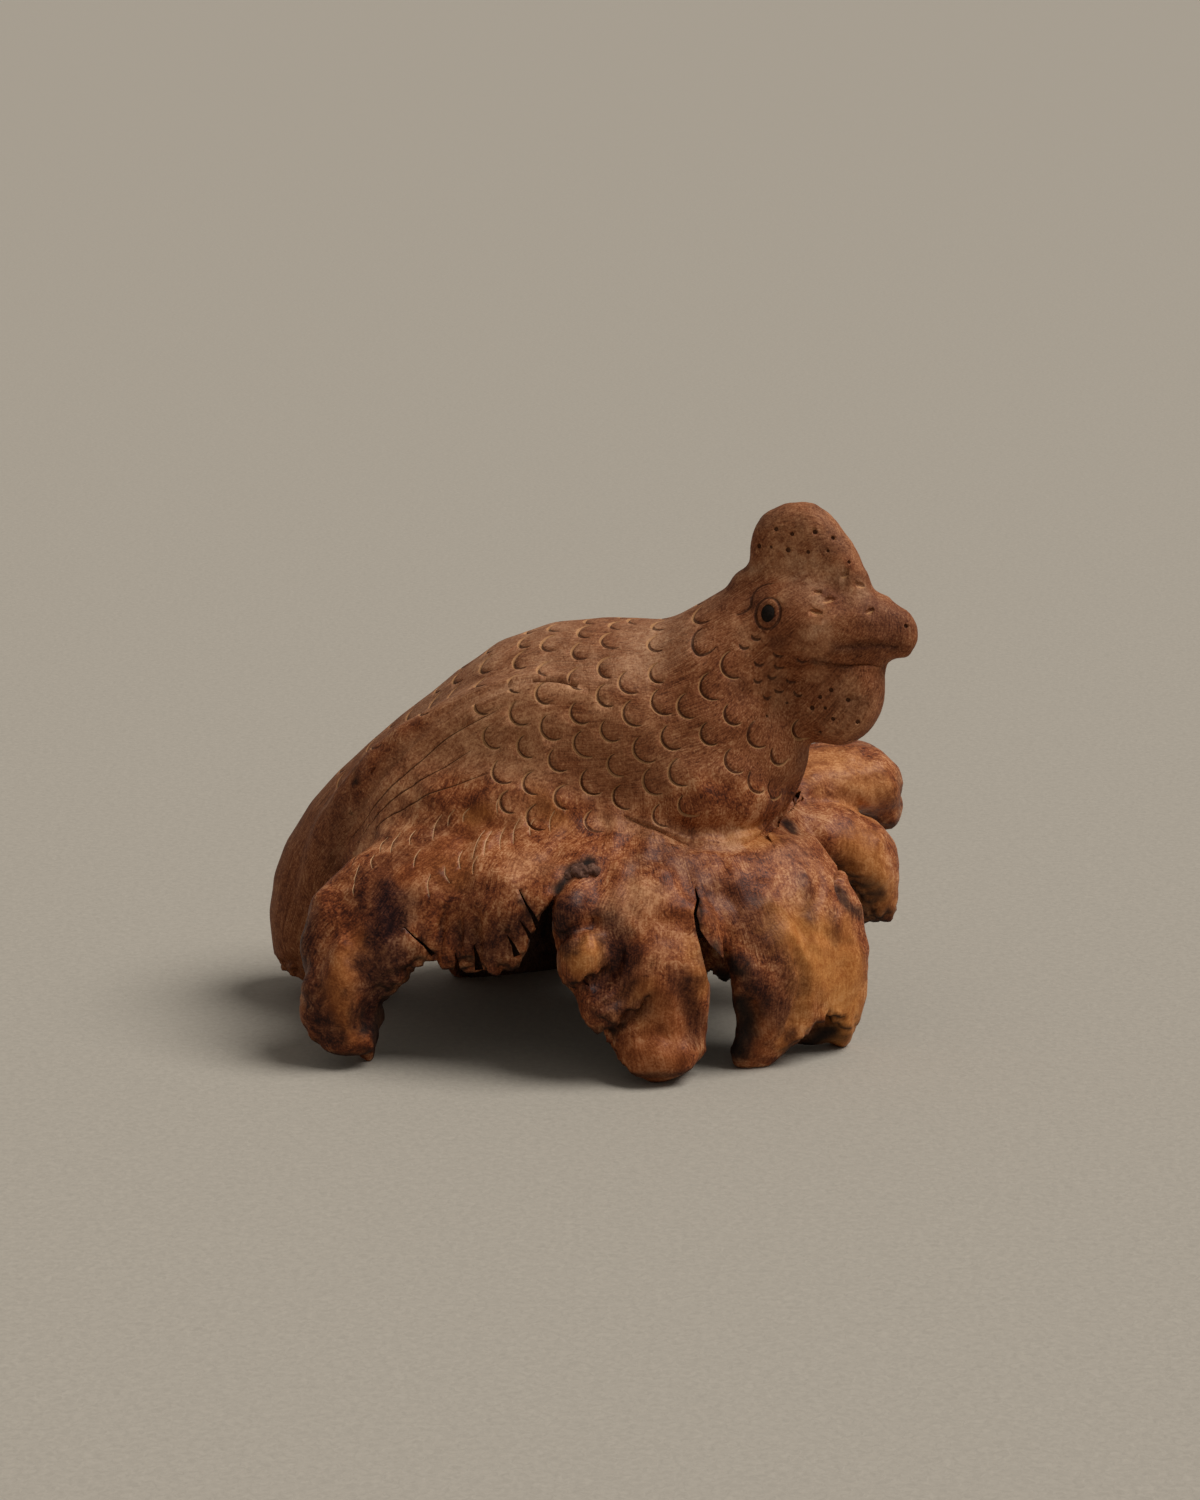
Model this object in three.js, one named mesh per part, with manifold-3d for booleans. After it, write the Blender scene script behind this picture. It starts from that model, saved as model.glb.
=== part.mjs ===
// A hen carved in the round from one burl of wood. It sits on the burl's own flared lobes.
// Millimetres, +Z up. The origin is on the table, under the middle of the carving.
import * as THREE from 'three';
import { mergeVertices } from 'three/addons/utils/BufferGeometryUtils.js';
import Module from 'manifold-3d';

const wasm = await Module();
wasm.setup();

// Hen body, in the hen's own frame: it looks along +X and its left is +Y
const HEN_TURN_DEG = -16;     // heading, about Z
const HEN_OFFSET_Y = 8;       // the body's middle, from the burl's datum
const BACK_HEIGHT = 77;       // top of the back above the table
const BODY_HEIGHT = 40;
const BODY_WIDTH = 41;
const BREAST_REACH = 40;      // breast, forward of the body's middle
const BREAST_WIDTH = 26;
const BREAST_HEIGHT = 27;
const BREAST_BOTTOM = 41;     // lowest edge of the breast's front above the table
const CROP_FORWARD = 21;      // middle of the swelling at the foot of the neck, forward of the body's middle
const CROP_HEIGHT = 60;       // its middle above the table
const CROP_LENGTH = 32;
const CROP_WIDTH = 34;
const CROP_DEPTH = 28;
const FLARE_FORWARD = 17;     // low flares on both sides of the breast, which overhang the burl
const FLARE_APART = 19;       // from the middle of one to the middle of the other
const FLARE_HEIGHT = 47;      // their middle above the table
const FLARE_LENGTH = 32;
const FLARE_WIDTH = 22;
const FLARE_DEPTH = 17;
const TAIL_REACH = 66;        // back of the tail, behind the body's middle
const TAIL_WIDTH = 30;
const TAIL_DEPTH = 25;        // front to back, where the tail turns down
const TAIL_FOOT_HEIGHT = 6;   // where the tail's end starts to round over

// Neck and head
const NECK_WIDTH = 25;
const NECK_DEPTH = 25;
const HEAD_FORWARD = 38;      // middle of the head, forward of the body's middle
const HEAD_LIFT = 1;          // middle of the head above the back
const HEAD_LENGTH = 28;
const HEAD_WIDTH = 20;
const HEAD_HEIGHT = 21;
const BEAK_LENGTH = 8;        // beyond the head
const BEAK_WIDTH = 15;
const BEAK_HEIGHT = 16;
const BEAK_TIP_DROP = 1.8;    // tip below the middle of the head
const COMB_HEIGHT = 12;       // above the crown
const COMB_LENGTH = 22;
const COMB_THICKNESS = 9;
const WATTLE_DROP = 22;       // lowest edge, below the middle of the head
const WATTLE_LENGTH = 17;
const WATTLE_THICKNESS = 13;

// Eyes: dark pegs let into blind holes in the sides of the head
const EYE_BACK = 4;           // behind the middle of the head
const EYE_LIFT = 3.4;         // above the middle of the head
const PEG_DIAMETER = 3.6;
const PEG_LENGTH = 5;
const PEG_PROUD = 0.7;        // how far the peg's domed end stands out
const PEG_CLEARANCE = 0.2;

// Wings: long pads on the sides of the body
const WING_SHOULDER_X = 10;
const WING_LENGTH = 62;
const WING_DROP = 38;         // fall from the shoulder to the wing's tip
const WING_SHOULDER_DROP = 18; // shoulder below the top of the back
const WING_DEPTH = 30;        // widest, across the wing
const WING_THICKNESS = 12;
const WING_PROUD = 1.6;       // how far the pad stands out from the body

// Burl: a low core under the hen, open below, with lobes round it
const LOBE_AXIS_X = 6;        // the upright line that the lobes spread from
const LOBE_AXIS_Y = 4;
const CORE_BACK = 6;          // middle of the core, behind the lobes' axis
const CORE_LENGTH = 82;
const CORE_WIDTH = 52;
const CORE_DEPTH = 22;
const LOBE_ROOT_HEIGHT = 36;  // where the lobes leave the core
const SADDLE_LENGTH = 54;     // the swelling that carries each wing down into the burl
const SADDLE_WIDTH = 24;
const SADDLE_DEPTH = 28;
const SADDLE_BACK = 16;       // middle of the saddle, behind the body's middle
const SADDLE_HEIGHT = 43;     // middle of the saddle, above the table
const WEB_THICKNESS = 10;     // the web that carries the right flank over into the claw
const WEB_BACK = 37;          // its back end, behind the body's middle
const WEB_HEIGHT = 33;        // its back end, above the table
const HOLLOW_LENGTH = 70;
const HOLLOW_WIDTH = 50;
const HOLLOW_HEIGHT = 25;

// Each lobe leaves the core at an azimuth (0 is +X, 90 is +Y), runs out to its reach and turns down to its tip.
// Facing is the way that its broad face looks, tuck is how far its tip turns back in.
const FRONT_LEG = {
  azimuth: -83, facing: -86, reach: 35, tuck: 1, lift: 0, tipHeight: 0, width: 27, tipWidth: 16, thickness: 13,
};
const RIGHT_LEG = {
  azimuth: -37, facing: -55, reach: 39, tuck: 3, lift: 1, tipHeight: 0, width: 33, tipWidth: 27, thickness: 12,
};
const RIGHT_LOBE = {
  azimuth: 9, facing: -5, reach: 46, tuck: -1, lift: 1, tipHeight: 22, width: 18, tipWidth: 10, thickness: 14,
};
const BACK_RIGHT_LOBE = {
  azimuth: 27, facing: 20, reach: 52, tuck: -2, lift: 8, tipHeight: 36, width: 22, tipWidth: 13, thickness: 14,
};
const BACK_LEG = {
  azimuth: 84, facing: 84, reach: 36, tuck: 2, lift: 0, tipHeight: 0, width: 21, tipWidth: 13, thickness: 12,
};
const BACK_SKIRT = {
  azimuth: 122, facing: 112, reach: 42, tuck: 1, lift: 2, tipHeight: 0, width: 36, tipWidth: 30, thickness: 11,
};
const FRONT_SKIRT = {
  azimuth: -130, facing: -108, reach: 37, tuck: 0, lift: 2, tipHeight: 22, width: 27, tipWidth: 22, thickness: 10,
};
const CLAW = {
  azimuth: -155, facing: -108, reach: 57, tuck: 5, lift: 1, tipHeight: 1.4, width: 25, tipWidth: 4, thickness: 13,
};

// Small growths on the lobes
const FINGER_COUNT = 5;       // along the front skirt's edge
const FINGER_DIAMETER = 5.4;
const FINGER_LENGTH = 11;
const FINGER_DROP = 2.6;      // below the skirt's edge
const ARCH_WIDTH = 11;        // under the right leg's foot
const ARCH_HEIGHT = 8;
const SCRAP_WIDTH = 8;        // bark left at the head of the slot beside the front leg
const SCRAP_HEIGHT = 5;
const SCRAP_DEPTH = 4;
const SCRAP_CLEARANCE = 0.3;

// Swellings on the lobes. Down is 0 at a lobe's root and 1 at its tip, side is -1 and 1 at its two edges, out is how far
// the swelling's middle stands before the lobe's own, and size is across, front to back and up.
const SWELLINGS = [
  { lobe: FRONT_LEG, down: 0.35, side: -1.3, out: 2.5, size: [8.4, 10.4, 10.4] },
  { lobe: FRONT_LEG, down: 0.5, side: -1.2, out: 2.2, size: [9.2, 10, 12] },
  { lobe: FRONT_LEG, down: 0.65, side: -0.94, out: 1.2, size: [10.4, 10, 8.8] },
  { lobe: FRONT_LEG, down: 0.86, side: -0.05, out: 1.5, size: [16.8, 12, 10.8] },
  { lobe: CLAW, down: 0.67, side: 0.14, out: 3.8, size: [9, 9, 20] },
];
const CLEFT_DEPTH = 24;       // the two clefts beside the front leg, front to back
const SLOT_WIDTH = 2.8;       // the left one, at its foot
const SLIT_WIDTH = 4.6;       // the right one, at its foot

// Fineness of the facets
const LIMB_SIDES = 14;
const LIMB_STEPS = 10;
const BODY_SIDES = 24;
const BODY_STEPS = 20;
const FINGER_SIDES = 10;
const SHORT_STEPS = 4;
const CAP_STEPS = 3;
const PILLOW_SIDES = 22;
const PILLOW_STEPS = 8;
const PILLOW_FULLNESS = 0.5;   // 1 is a lens, less is fuller
const PEG_SIDES = 16;

const WOOD = new THREE.MeshStandardMaterial({ color: 0x7a4c30, roughness: 0.62, metalness: 0 });
const PEG_WOOD = new THREE.MeshStandardMaterial({ color: 0x1b1411, roughness: 0.5, metalness: 0 });
const BARK = new THREE.MeshStandardMaterial({ color: 0x54392b, roughness: 0.9, metalness: 0 });

const vec = (x, y, z) => new THREE.Vector3(x, y, z);
const { lerp, degToRad } = THREE.MathUtils;
const SIDEWAYS = vec(0, 1, 0);
const UPWARDS = vec(0, 0, 1);

// Solids in and out of manifold-3d
function solidOf(geometry) {
  const bare = new THREE.BufferGeometry();
  bare.setAttribute('position', geometry.getAttribute('position'));
  bare.setIndex(geometry.index);
  const merged = mergeVertices(bare, 1e-4);
  return new wasm.Manifold(new wasm.Mesh({
    numProp: 3,
    vertProperties: merged.getAttribute('position').array,
    triVerts: new Uint32Array(merged.index.array),
  }));
}

function geometryOf(solid) {
  const { vertProperties, triVerts } = solid.getMesh();
  const geometry = new THREE.BufferGeometry();
  geometry.setAttribute('position', new THREE.BufferAttribute(vertProperties, 3));
  geometry.setIndex(new THREE.BufferAttribute(triVerts, 1));
  geometry.computeVertexNormals();
  return geometry;
}

const joined = (geometries) => geometries.map(solidOf).reduce((whole, piece) => whole.add(piece));

// A closed skin over rings of points, each with the same number of points, and a pole beyond each end ring.
// A ring runs anticlockwise as seen from the last pole.
function skin(rings, firstPole, lastPole) {
  const sides = rings[0].length;
  const last = (rings.length - 1) * sides;
  const poles = [last + sides, last + sides + 1];
  const faces = [];
  for (let j = 0; j < sides; j++) {
    const next = (j + 1) % sides;
    for (let row = 0; row < last; row += sides) {
      faces.push(row + j, row + next, row + sides + next, row + j, row + sides + next, row + sides + j);
    }
    faces.push(poles[0], next, j, poles[1], last + j, last + next);
  }
  const geometry = new THREE.BufferGeometry().setFromPoints([...rings.flat(), firstPole, lastPole]);
  geometry.setIndex(faces);
  return geometry;
}

// A limb along a smooth spine, with round ends. At each stop its oval section is half[i][0] along "across"
// and half[i][1] square to that.
function limb(spine, half, across, sides = LIMB_SIDES, steps = LIMB_STEPS) {
  const path = new THREE.CatmullRomCurve3(spine);
  const sizes = new THREE.CatmullRomCurve3(half.map(([a, b]) => vec(a, b, 0)));
  const beyond = (share, along) => {
    const size = sizes.getPoint(share);
    return path.getPoint(share).addScaledVector(path.getTangent(share), along * Math.min(size.x, size.y));
  };
  const ring = (share, capAngle) => {
    const tangent = path.getTangent(share);
    const square = tangent.clone().cross(across).normalize();
    const flat = square.clone().cross(tangent);
    const size = sizes.getPoint(share).multiplyScalar(Math.cos(capAngle));
    const centre = beyond(share, Math.sin(capAngle));
    return Array.from({ length: sides }, (_, j) => {
      const angle = (j / sides) * 2 * Math.PI;
      return centre.clone()
        .addScaledVector(flat, size.x * Math.cos(angle))
        .addScaledVector(square, size.y * Math.sin(angle));
    });
  };
  const capAngle = (step) => (step / (CAP_STEPS + 1)) * Math.PI / 2;
  const rings = [];
  for (let i = -CAP_STEPS; i < 0; i++) rings.push(ring(0, capAngle(i)));
  for (let i = 0; i <= steps; i++) rings.push(ring(i / steps, 0));
  for (let i = 1; i <= CAP_STEPS; i++) rings.push(ring(1, capAngle(i)));
  return skin(rings, beyond(0, -1), beyond(1, 1));
}

// A pillow in the hen's middle plane: an outline in (forward, up), clockwise, full in the middle and round-edged
function pillow(outline, thickness) {
  const edge = new THREE.CatmullRomCurve3(outline.map(([x, z]) => vec(x, 0, z)), true);
  const points = edge.getPoints(PILLOW_SIDES).slice(1);
  const centre = points.reduce((sum, point) => sum.add(point), vec(0, 0, 0)).divideScalar(PILLOW_SIDES);
  const rings = [];
  for (let i = 1; i < PILLOW_STEPS; i++) {
    const angle = (i / PILLOW_STEPS - 0.5) * Math.PI;
    const scale = Math.cos(angle) ** PILLOW_FULLNESS;
    const shift = vec(0, Math.sin(angle) * thickness / 2, 0);
    rings.push(points.map((point) => centre.clone().lerp(point, scale).add(shift)));
  }
  const half = vec(0, thickness / 2, 0);
  return skin(rings, centre.clone().sub(half), centre.clone().add(half));
}

function ellipsoid(centre, halfX, halfY, halfZ) {
  const ball = new THREE.SphereGeometry(1, LIMB_SIDES, LIMB_STEPS);
  return ball.scale(halfX, halfY, halfZ).translate(centre.x, centre.y, centre.z);
}

// Hen
const bodyMiddle = BACK_HEIGHT - BODY_HEIGHT / 2;
const headCentre = vec(HEAD_FORWARD, 0, BACK_HEIGHT + HEAD_LIFT);

// Breast, back, rump and tail are one limb that bends down behind to the table
function body() {
  const tailMiddle = TAIL_DEPTH / 2 - TAIL_REACH;
  const chestWidth = lerp(BREAST_WIDTH, BODY_WIDTH, 0.6);
  const spine = [
    vec(BREAST_REACH - BREAST_WIDTH / 2, 0, BREAST_BOTTOM + BREAST_HEIGHT / 2),
    vec(BREAST_REACH * 0.5, 0, bodyMiddle - BODY_HEIGHT * 0.06),
    vec(BREAST_REACH * 0.2, 0, bodyMiddle),
    vec(tailMiddle * 0.15, 0, bodyMiddle - BODY_HEIGHT * 0.05),
    vec(tailMiddle * 0.45, 0, bodyMiddle * 0.81),
    vec(tailMiddle * 0.72, 0, bodyMiddle * 0.64),
    vec(tailMiddle * 0.93, 0, bodyMiddle * 0.42),
    vec(tailMiddle, 0, bodyMiddle * 0.22),
    vec(tailMiddle + TAIL_DEPTH * 0.1, 0, TAIL_FOOT_HEIGHT),
  ];
  const half = [
    [BREAST_WIDTH / 2, BREAST_HEIGHT / 2],
    [chestWidth / 2, BODY_HEIGHT * 0.42],
    [BODY_WIDTH / 2, BODY_HEIGHT / 2],
    [BODY_WIDTH / 2, BODY_HEIGHT / 2],
    [BODY_WIDTH * 0.47, BODY_HEIGHT * 0.43],
    [lerp(BODY_WIDTH, TAIL_WIDTH, 0.5) / 2, BODY_HEIGHT * 0.38],
    [TAIL_WIDTH / 2, TAIL_DEPTH * 0.56],
    [TAIL_WIDTH * 0.46, TAIL_DEPTH / 2],
    [TAIL_WIDTH * 0.31, TAIL_DEPTH * 0.36],
  ];
  return limb(spine, half, SIDEWAYS, BODY_SIDES, BODY_STEPS);
}

function neck() {
  const spine = [
    vec(HEAD_FORWARD * 0.12, 0, bodyMiddle),
    vec(HEAD_FORWARD * 0.4, 0, bodyMiddle + BODY_HEIGHT * 0.12),
    vec(HEAD_FORWARD * 0.64, 0, lerp(bodyMiddle, headCentre.z, 0.6)),
    vec(HEAD_FORWARD * 0.84, 0, lerp(bodyMiddle, headCentre.z, 0.88)),
    vec(HEAD_FORWARD, 0, headCentre.z - HEAD_HEIGHT * 0.04),
  ];
  const half = [
    [BODY_WIDTH * 0.47, BODY_HEIGHT * 0.46],
    [BODY_WIDTH * 0.43, BODY_HEIGHT * 0.4],
    [NECK_WIDTH * 0.56, NECK_DEPTH / 2],
    [lerp(NECK_WIDTH, HEAD_WIDTH, 0.7) * 0.46, NECK_DEPTH * 0.44],
    [HEAD_WIDTH * 0.43, HEAD_HEIGHT * 0.45],
  ];
  return limb(spine, half, SIDEWAYS);
}

// The crop swells between the breast and the neck
function crop() {
  const centre = vec(CROP_FORWARD, 0, CROP_HEIGHT);
  return ellipsoid(centre, CROP_LENGTH / 2, CROP_WIDTH / 2, CROP_DEPTH / 2);
}

// The breast flares out low on both sides. Side is 1 for the hen's left
function flare(side) {
  const centre = vec(FLARE_FORWARD, side * FLARE_APART / 2, FLARE_HEIGHT);
  return ellipsoid(centre, FLARE_LENGTH / 2, FLARE_WIDTH / 2, FLARE_DEPTH / 2);
}

const head = () => ellipsoid(headCentre, HEAD_LENGTH / 2, HEAD_WIDTH / 2, HEAD_HEIGHT / 2);

function beak() {
  const base = headCentre.clone().add(vec(HEAD_LENGTH * 0.14, 0, -HEAD_HEIGHT * 0.02));
  const tipX = headCentre.x + HEAD_LENGTH / 2 + BEAK_LENGTH;
  const tip = vec(tipX - BEAK_WIDTH * 0.2, 0, headCentre.z - BEAK_TIP_DROP);
  const spine = [
    base,
    base.clone().lerp(tip, 0.5).add(vec(0, 0, BEAK_HEIGHT * 0.05)),
    base.clone().lerp(tip, 0.8).add(vec(0, 0, BEAK_HEIGHT * 0.04)),
    tip,
  ];
  const half = [
    [HEAD_WIDTH * 0.42, BEAK_HEIGHT * 0.6],
    [BEAK_WIDTH / 2, BEAK_HEIGHT / 2],
    [BEAK_WIDTH * 0.36, BEAK_HEIGHT * 0.38],
    [BEAK_WIDTH * 0.2, BEAK_HEIGHT * 0.2],
  ];
  return limb(spine, half, SIDEWAYS);
}

// The comb is a thick rounded fin along the crown
function comb() {
  const crown = headCentre.z + HEAD_HEIGHT / 2;
  const back = headCentre.x - HEAD_LENGTH * 0.32;
  const at = (forward, up) => [back + forward * COMB_LENGTH, crown + up * COMB_HEIGHT];
  const outline = [
    at(0.08, -0.42), at(-0.02, 0.1), at(0.04, 0.68), at(0.2, 0.91), at(0.4, 1), at(0.62, 0.88),
    at(0.84, 0.38), at(1, -0.16), at(1.02, -0.5), at(0.56, -0.62),
  ];
  return pillow(outline, COMB_THICKNESS);
}

// The wattle hangs under the beak as a rounded lappet
function wattle() {
  const front = headCentre.x + HEAD_LENGTH / 2 + BEAK_LENGTH * 0.24;
  const at = (back, down) => [front - back * WATTLE_LENGTH, headCentre.z - down * WATTLE_DROP];
  const outline = [
    at(0.1, 0.2), at(0, 0.4), at(0.01, 0.66), at(0.12, 0.86), at(0.38, 1), at(0.7, 0.98),
    at(0.98, 0.84), at(1.06, 0.5), at(0.66, 0.2),
  ];
  return pillow(outline, WATTLE_THICKNESS);
}

// Side is 1 for the hen's left wing and -1 for its right wing
function wing(side) {
  const out = BODY_WIDTH / 2 + WING_PROUD - WING_THICKNESS / 2;
  const shoulderZ = BACK_HEIGHT - WING_SHOULDER_DROP;
  const at = (along, fall, inward) => vec(
    WING_SHOULDER_X - along * WING_LENGTH,
    side * (out - inward * WING_THICKNESS),
    shoulderZ - fall * WING_DROP,
  );
  const spine = [at(0, 0, 0.17), at(0.3, 0.1, 0), at(0.58, 0.35, 0.04), at(0.82, 0.66, 0.17), at(1, 1, 0.33)];
  const half = [
    [WING_THICKNESS * 0.36, WING_DEPTH * 0.36],
    [WING_THICKNESS / 2, WING_DEPTH * 0.48],
    [WING_THICKNESS / 2, WING_DEPTH / 2],
    [WING_THICKNESS * 0.44, WING_DEPTH * 0.4],
    [WING_THICKNESS * 0.28, WING_DEPTH * 0.2],
  ];
  return limb(spine, half, SIDEWAYS);
}

// The flank under a wing swells out and down into the burl
function saddle(side) {
  const centre = vec(-SADDLE_BACK, side * (BODY_WIDTH - SADDLE_WIDTH / 2) / 2, SADDLE_HEIGHT);
  return ellipsoid(centre, SADDLE_LENGTH / 2, SADDLE_WIDTH / 2, SADDLE_DEPTH / 2);
}

// A web fills the crease between the right flank, the tail and the claw
function web() {
  const half = WEB_THICKNESS / 2;
  const out = -BODY_WIDTH / 2;
  const spine = [
    vec(-SADDLE_BACK - half, out - half * 0.4, SADDLE_HEIGHT - half * 0.4),
    vec(-lerp(SADDLE_BACK + half, WEB_BACK, 0.55), out - half * 0.1, lerp(SADDLE_HEIGHT, WEB_HEIGHT, 0.5)),
    vec(-WEB_BACK, out + half * 0.3, WEB_HEIGHT),
    vec(-WEB_BACK, out + half * 0.3, WEB_HEIGHT - WEB_THICKNESS * 0.6),
  ];
  return limb(spine, spine.map(() => [half, half]), UPWARDS.clone().cross(SIDEWAYS));
}

// Burl
const lobeAxis = vec(LOBE_AXIS_X, LOBE_AXIS_Y, 0);

function core() {
  const centre = lobeAxis.clone().add(vec(-CORE_BACK, 0, LOBE_ROOT_HEIGHT));
  return ellipsoid(centre, CORE_LENGTH / 2, CORE_WIDTH / 2, CORE_DEPTH / 2);
}

const hollow = () => ellipsoid(lobeAxis, HOLLOW_LENGTH / 2, HOLLOW_WIDTH / 2, HOLLOW_HEIGHT);

const heading = (degrees) => vec(Math.cos(degToRad(degrees)), Math.sin(degToRad(degrees)), 0);
const broadway = (spec) => UPWARDS.clone().cross(heading(spec.facing));

function lobeSpine({ azimuth, reach, tuck, lift, tipHeight }) {
  const fall = LOBE_ROOT_HEIGHT - tipHeight;
  const at = (distance, z) => lobeAxis.clone().addScaledVector(heading(azimuth), distance).setZ(z);
  return [
    at(reach * 0.22, LOBE_ROOT_HEIGHT),
    at(reach * 0.66, LOBE_ROOT_HEIGHT * 0.95 + lift),
    at(reach * 0.95, tipHeight + fall * 0.62 + lift * 0.8),
    at(reach, tipHeight + fall * 0.28 + lift * 0.4),
    at(reach - tuck, tipHeight),
  ];
}

function lobe(spec) {
  const { width, tipWidth, thickness } = spec;
  const half = [
    [width * 0.46, thickness * 0.6],
    [width / 2, thickness / 2],
    [width * 0.49, thickness * 0.48],
    [lerp(width, tipWidth, 0.55) / 2, thickness * 0.42],
    [tipWidth / 2, thickness * 0.34],
  ];
  return limb(lobeSpine(spec), half, broadway(spec));
}

// A place on a lobe: down is 0 at its root and 1 at its tip, side is -1 and 1 at its two edges
function onLobe(spec, down, side) {
  const halfWidth = lerp(spec.width, spec.tipWidth, down) / 2;
  const middle = new THREE.CatmullRomCurve3(lobeSpine(spec)).getPoint(down);
  return middle.addScaledVector(broadway(spec), side * halfWidth);
}

// Short fingers hang from the front skirt's edge, every other one longer
function fingers() {
  const made = [];
  for (let i = 0; i < FINGER_COUNT; i++) {
    const side = lerp(-1, 1, i / (FINGER_COUNT - 1));
    const drop = FINGER_DROP * (i % 2 ? 1 : 0.4);
    const foot = onLobe(FRONT_SKIRT, 1, side).add(vec(0, 0, FINGER_DIAMETER / 2 - FINGER_DROP - drop));
    const root = foot.clone().add(vec(0, 0, FINGER_LENGTH));
    const half = FINGER_DIAMETER / 2;
    made.push(limb([foot, foot.clone().lerp(root, 0.5), root],
      [[half, half], [half, half], [half * 0.6, half * 0.6]], broadway(FRONT_SKIRT), FINGER_SIDES, SHORT_STEPS));
  }
  return made;
}

function swelling({ lobe: spec, down, side, out, size }) {
  const centre = onLobe(spec, down, side).addScaledVector(heading(spec.facing), out);
  return ellipsoid(centre, size[0] / 2, size[1] / 2, size[2] / 2);
}

// A cleft right through the wall beside the front leg, along these places and as wide as these shares of its width
function cleft(spine, width, shares) {
  const half = shares.map((share) => [share * width / 2, CLEFT_DEPTH / 2]);
  return limb(spine, half, broadway(FRONT_LEG));
}

// The left cleft runs down past the swellings on the leg's left edge
function slot() {
  const stops = [[0.3, -1.42], [0.36, -1.62], [0.45, -1.74], [0.62, -2.1]];
  return cleft(stops.map(([down, side]) => onLobe(FRONT_LEG, down, side)), SLOT_WIDTH, [0.3, 0.4, 0.6, 1]);
}

// The right cleft runs down between the front leg and the right leg
function slit() {
  const between = (down) => onLobe(FRONT_LEG, down, 1).lerp(onLobe(RIGHT_LEG, down, -1), 0.5);
  return cleft([0.34, 0.46, 0.58, 0.76, 1].map(between), SLIT_WIDTH, [0.2, 0.3, 0.75, 1, 1]);
}

// The arch that parts the right leg's foot in two
function arch() {
  const middle = onLobe(RIGHT_LEG, 1, 0.34).setZ(0);
  const outwards = heading(RIGHT_LEG.facing).multiplyScalar(RIGHT_LEG.thickness);
  const ends = [middle.clone().sub(outwards), middle, middle.clone().add(outwards)];
  const half = [ARCH_WIDTH / 2, ARCH_HEIGHT];
  return limb(ends, [half, half, half], broadway(RIGHT_LEG), LIMB_SIDES, SHORT_STEPS);
}

// Bark left where the slot between the front skirt and the front leg runs out
function scrapOf(margin) {
  const centre = onLobe(FRONT_LEG, 0.3, -1.08).add(vec(0, -FRONT_LEG.thickness * 0.22, FRONT_LEG.thickness * 0.3));
  return ellipsoid(centre, SCRAP_WIDTH / 2 + margin, SCRAP_DEPTH / 2 + margin, SCRAP_HEIGHT / 2 + margin);
}

// Everything under the table's surface is ground off, which leaves the feet flat
function below() {
  const room = 4 * (TAIL_REACH + BREAST_REACH);
  return new THREE.BoxGeometry(room, room, room).translate(0, 0, -room / 2);
}

// Eyes
function eyeFrame(side) {
  const half = vec(HEAD_LENGTH / 2, HEAD_WIDTH / 2, HEAD_HEIGHT / 2);
  const outwards = Math.sqrt(1 - (EYE_BACK / half.x) ** 2 - (EYE_LIFT / half.z) ** 2);
  const offset = vec(-EYE_BACK, side * half.y * outwards, EYE_LIFT);
  const normal = offset.clone().divide(half).divide(half).normalize();
  return new THREE.Matrix4()
    .makeTranslation(headCentre.clone().add(offset))
    .multiply(new THREE.Matrix4().makeRotationFromQuaternion(
      new THREE.Quaternion().setFromUnitVectors(SIDEWAYS, normal)));
}

// A peg along +Y with its domed end proud of the surface at 0
function pegProfile() {
  const radius = PEG_DIAMETER / 2;
  const profile = [new THREE.Vector2(0, PEG_PROUD - PEG_LENGTH), new THREE.Vector2(radius, PEG_PROUD - PEG_LENGTH)];
  for (let i = 0; i < CAP_STEPS; i++) {
    const angle = (i / CAP_STEPS) * Math.PI / 2;
    profile.push(new THREE.Vector2(radius * Math.cos(angle), PEG_PROUD * Math.sin(angle)));
  }
  profile.push(new THREE.Vector2(0, PEG_PROUD));
  return profile;
}

const peg = (side) => new THREE.LatheGeometry(pegProfile(), PEG_SIDES).applyMatrix4(eyeFrame(side));

function pegHole(side) {
  const bottom = PEG_PROUD - PEG_LENGTH - PEG_CLEARANCE;
  const top = HEAD_WIDTH / 2;
  const hole = new THREE.CylinderGeometry(
    PEG_DIAMETER / 2 + PEG_CLEARANCE, PEG_DIAMETER / 2 + PEG_CLEARANCE, top - bottom, PEG_SIDES);
  return hole.translate(0, (top + bottom) / 2, 0).applyMatrix4(eyeFrame(side));
}

// Assembly
const henFrame = new THREE.Matrix4()
  .makeTranslation(0, HEN_OFFSET_Y, 0)
  .multiply(new THREE.Matrix4().makeRotationZ(degToRad(HEN_TURN_DEG)));
const inHenFrame = (geometry) => geometry.applyMatrix4(henFrame);

const henForms = [
  body(), crop(), flare(1), flare(-1), neck(), head(), beak(), comb(), wattle(),
  wing(1), wing(-1), saddle(1), saddle(-1), web(),
].map(inHenFrame);
const lobes = [
  FRONT_LEG, RIGHT_LEG, RIGHT_LOBE, BACK_RIGHT_LOBE, BACK_LEG, BACK_SKIRT, FRONT_SKIRT, CLAW,
].map(lobe);
const burlForms = [core(), ...lobes, ...fingers(), ...SWELLINGS.map(swelling)];
const cuts = [
  below(), hollow(), arch(), slot(), slit(), scrapOf(SCRAP_CLEARANCE),
  inHenFrame(pegHole(1)), inHenFrame(pegHole(-1)),
];
const block = joined([...henForms, ...burlForms]).subtract(joined(cuts));

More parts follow.
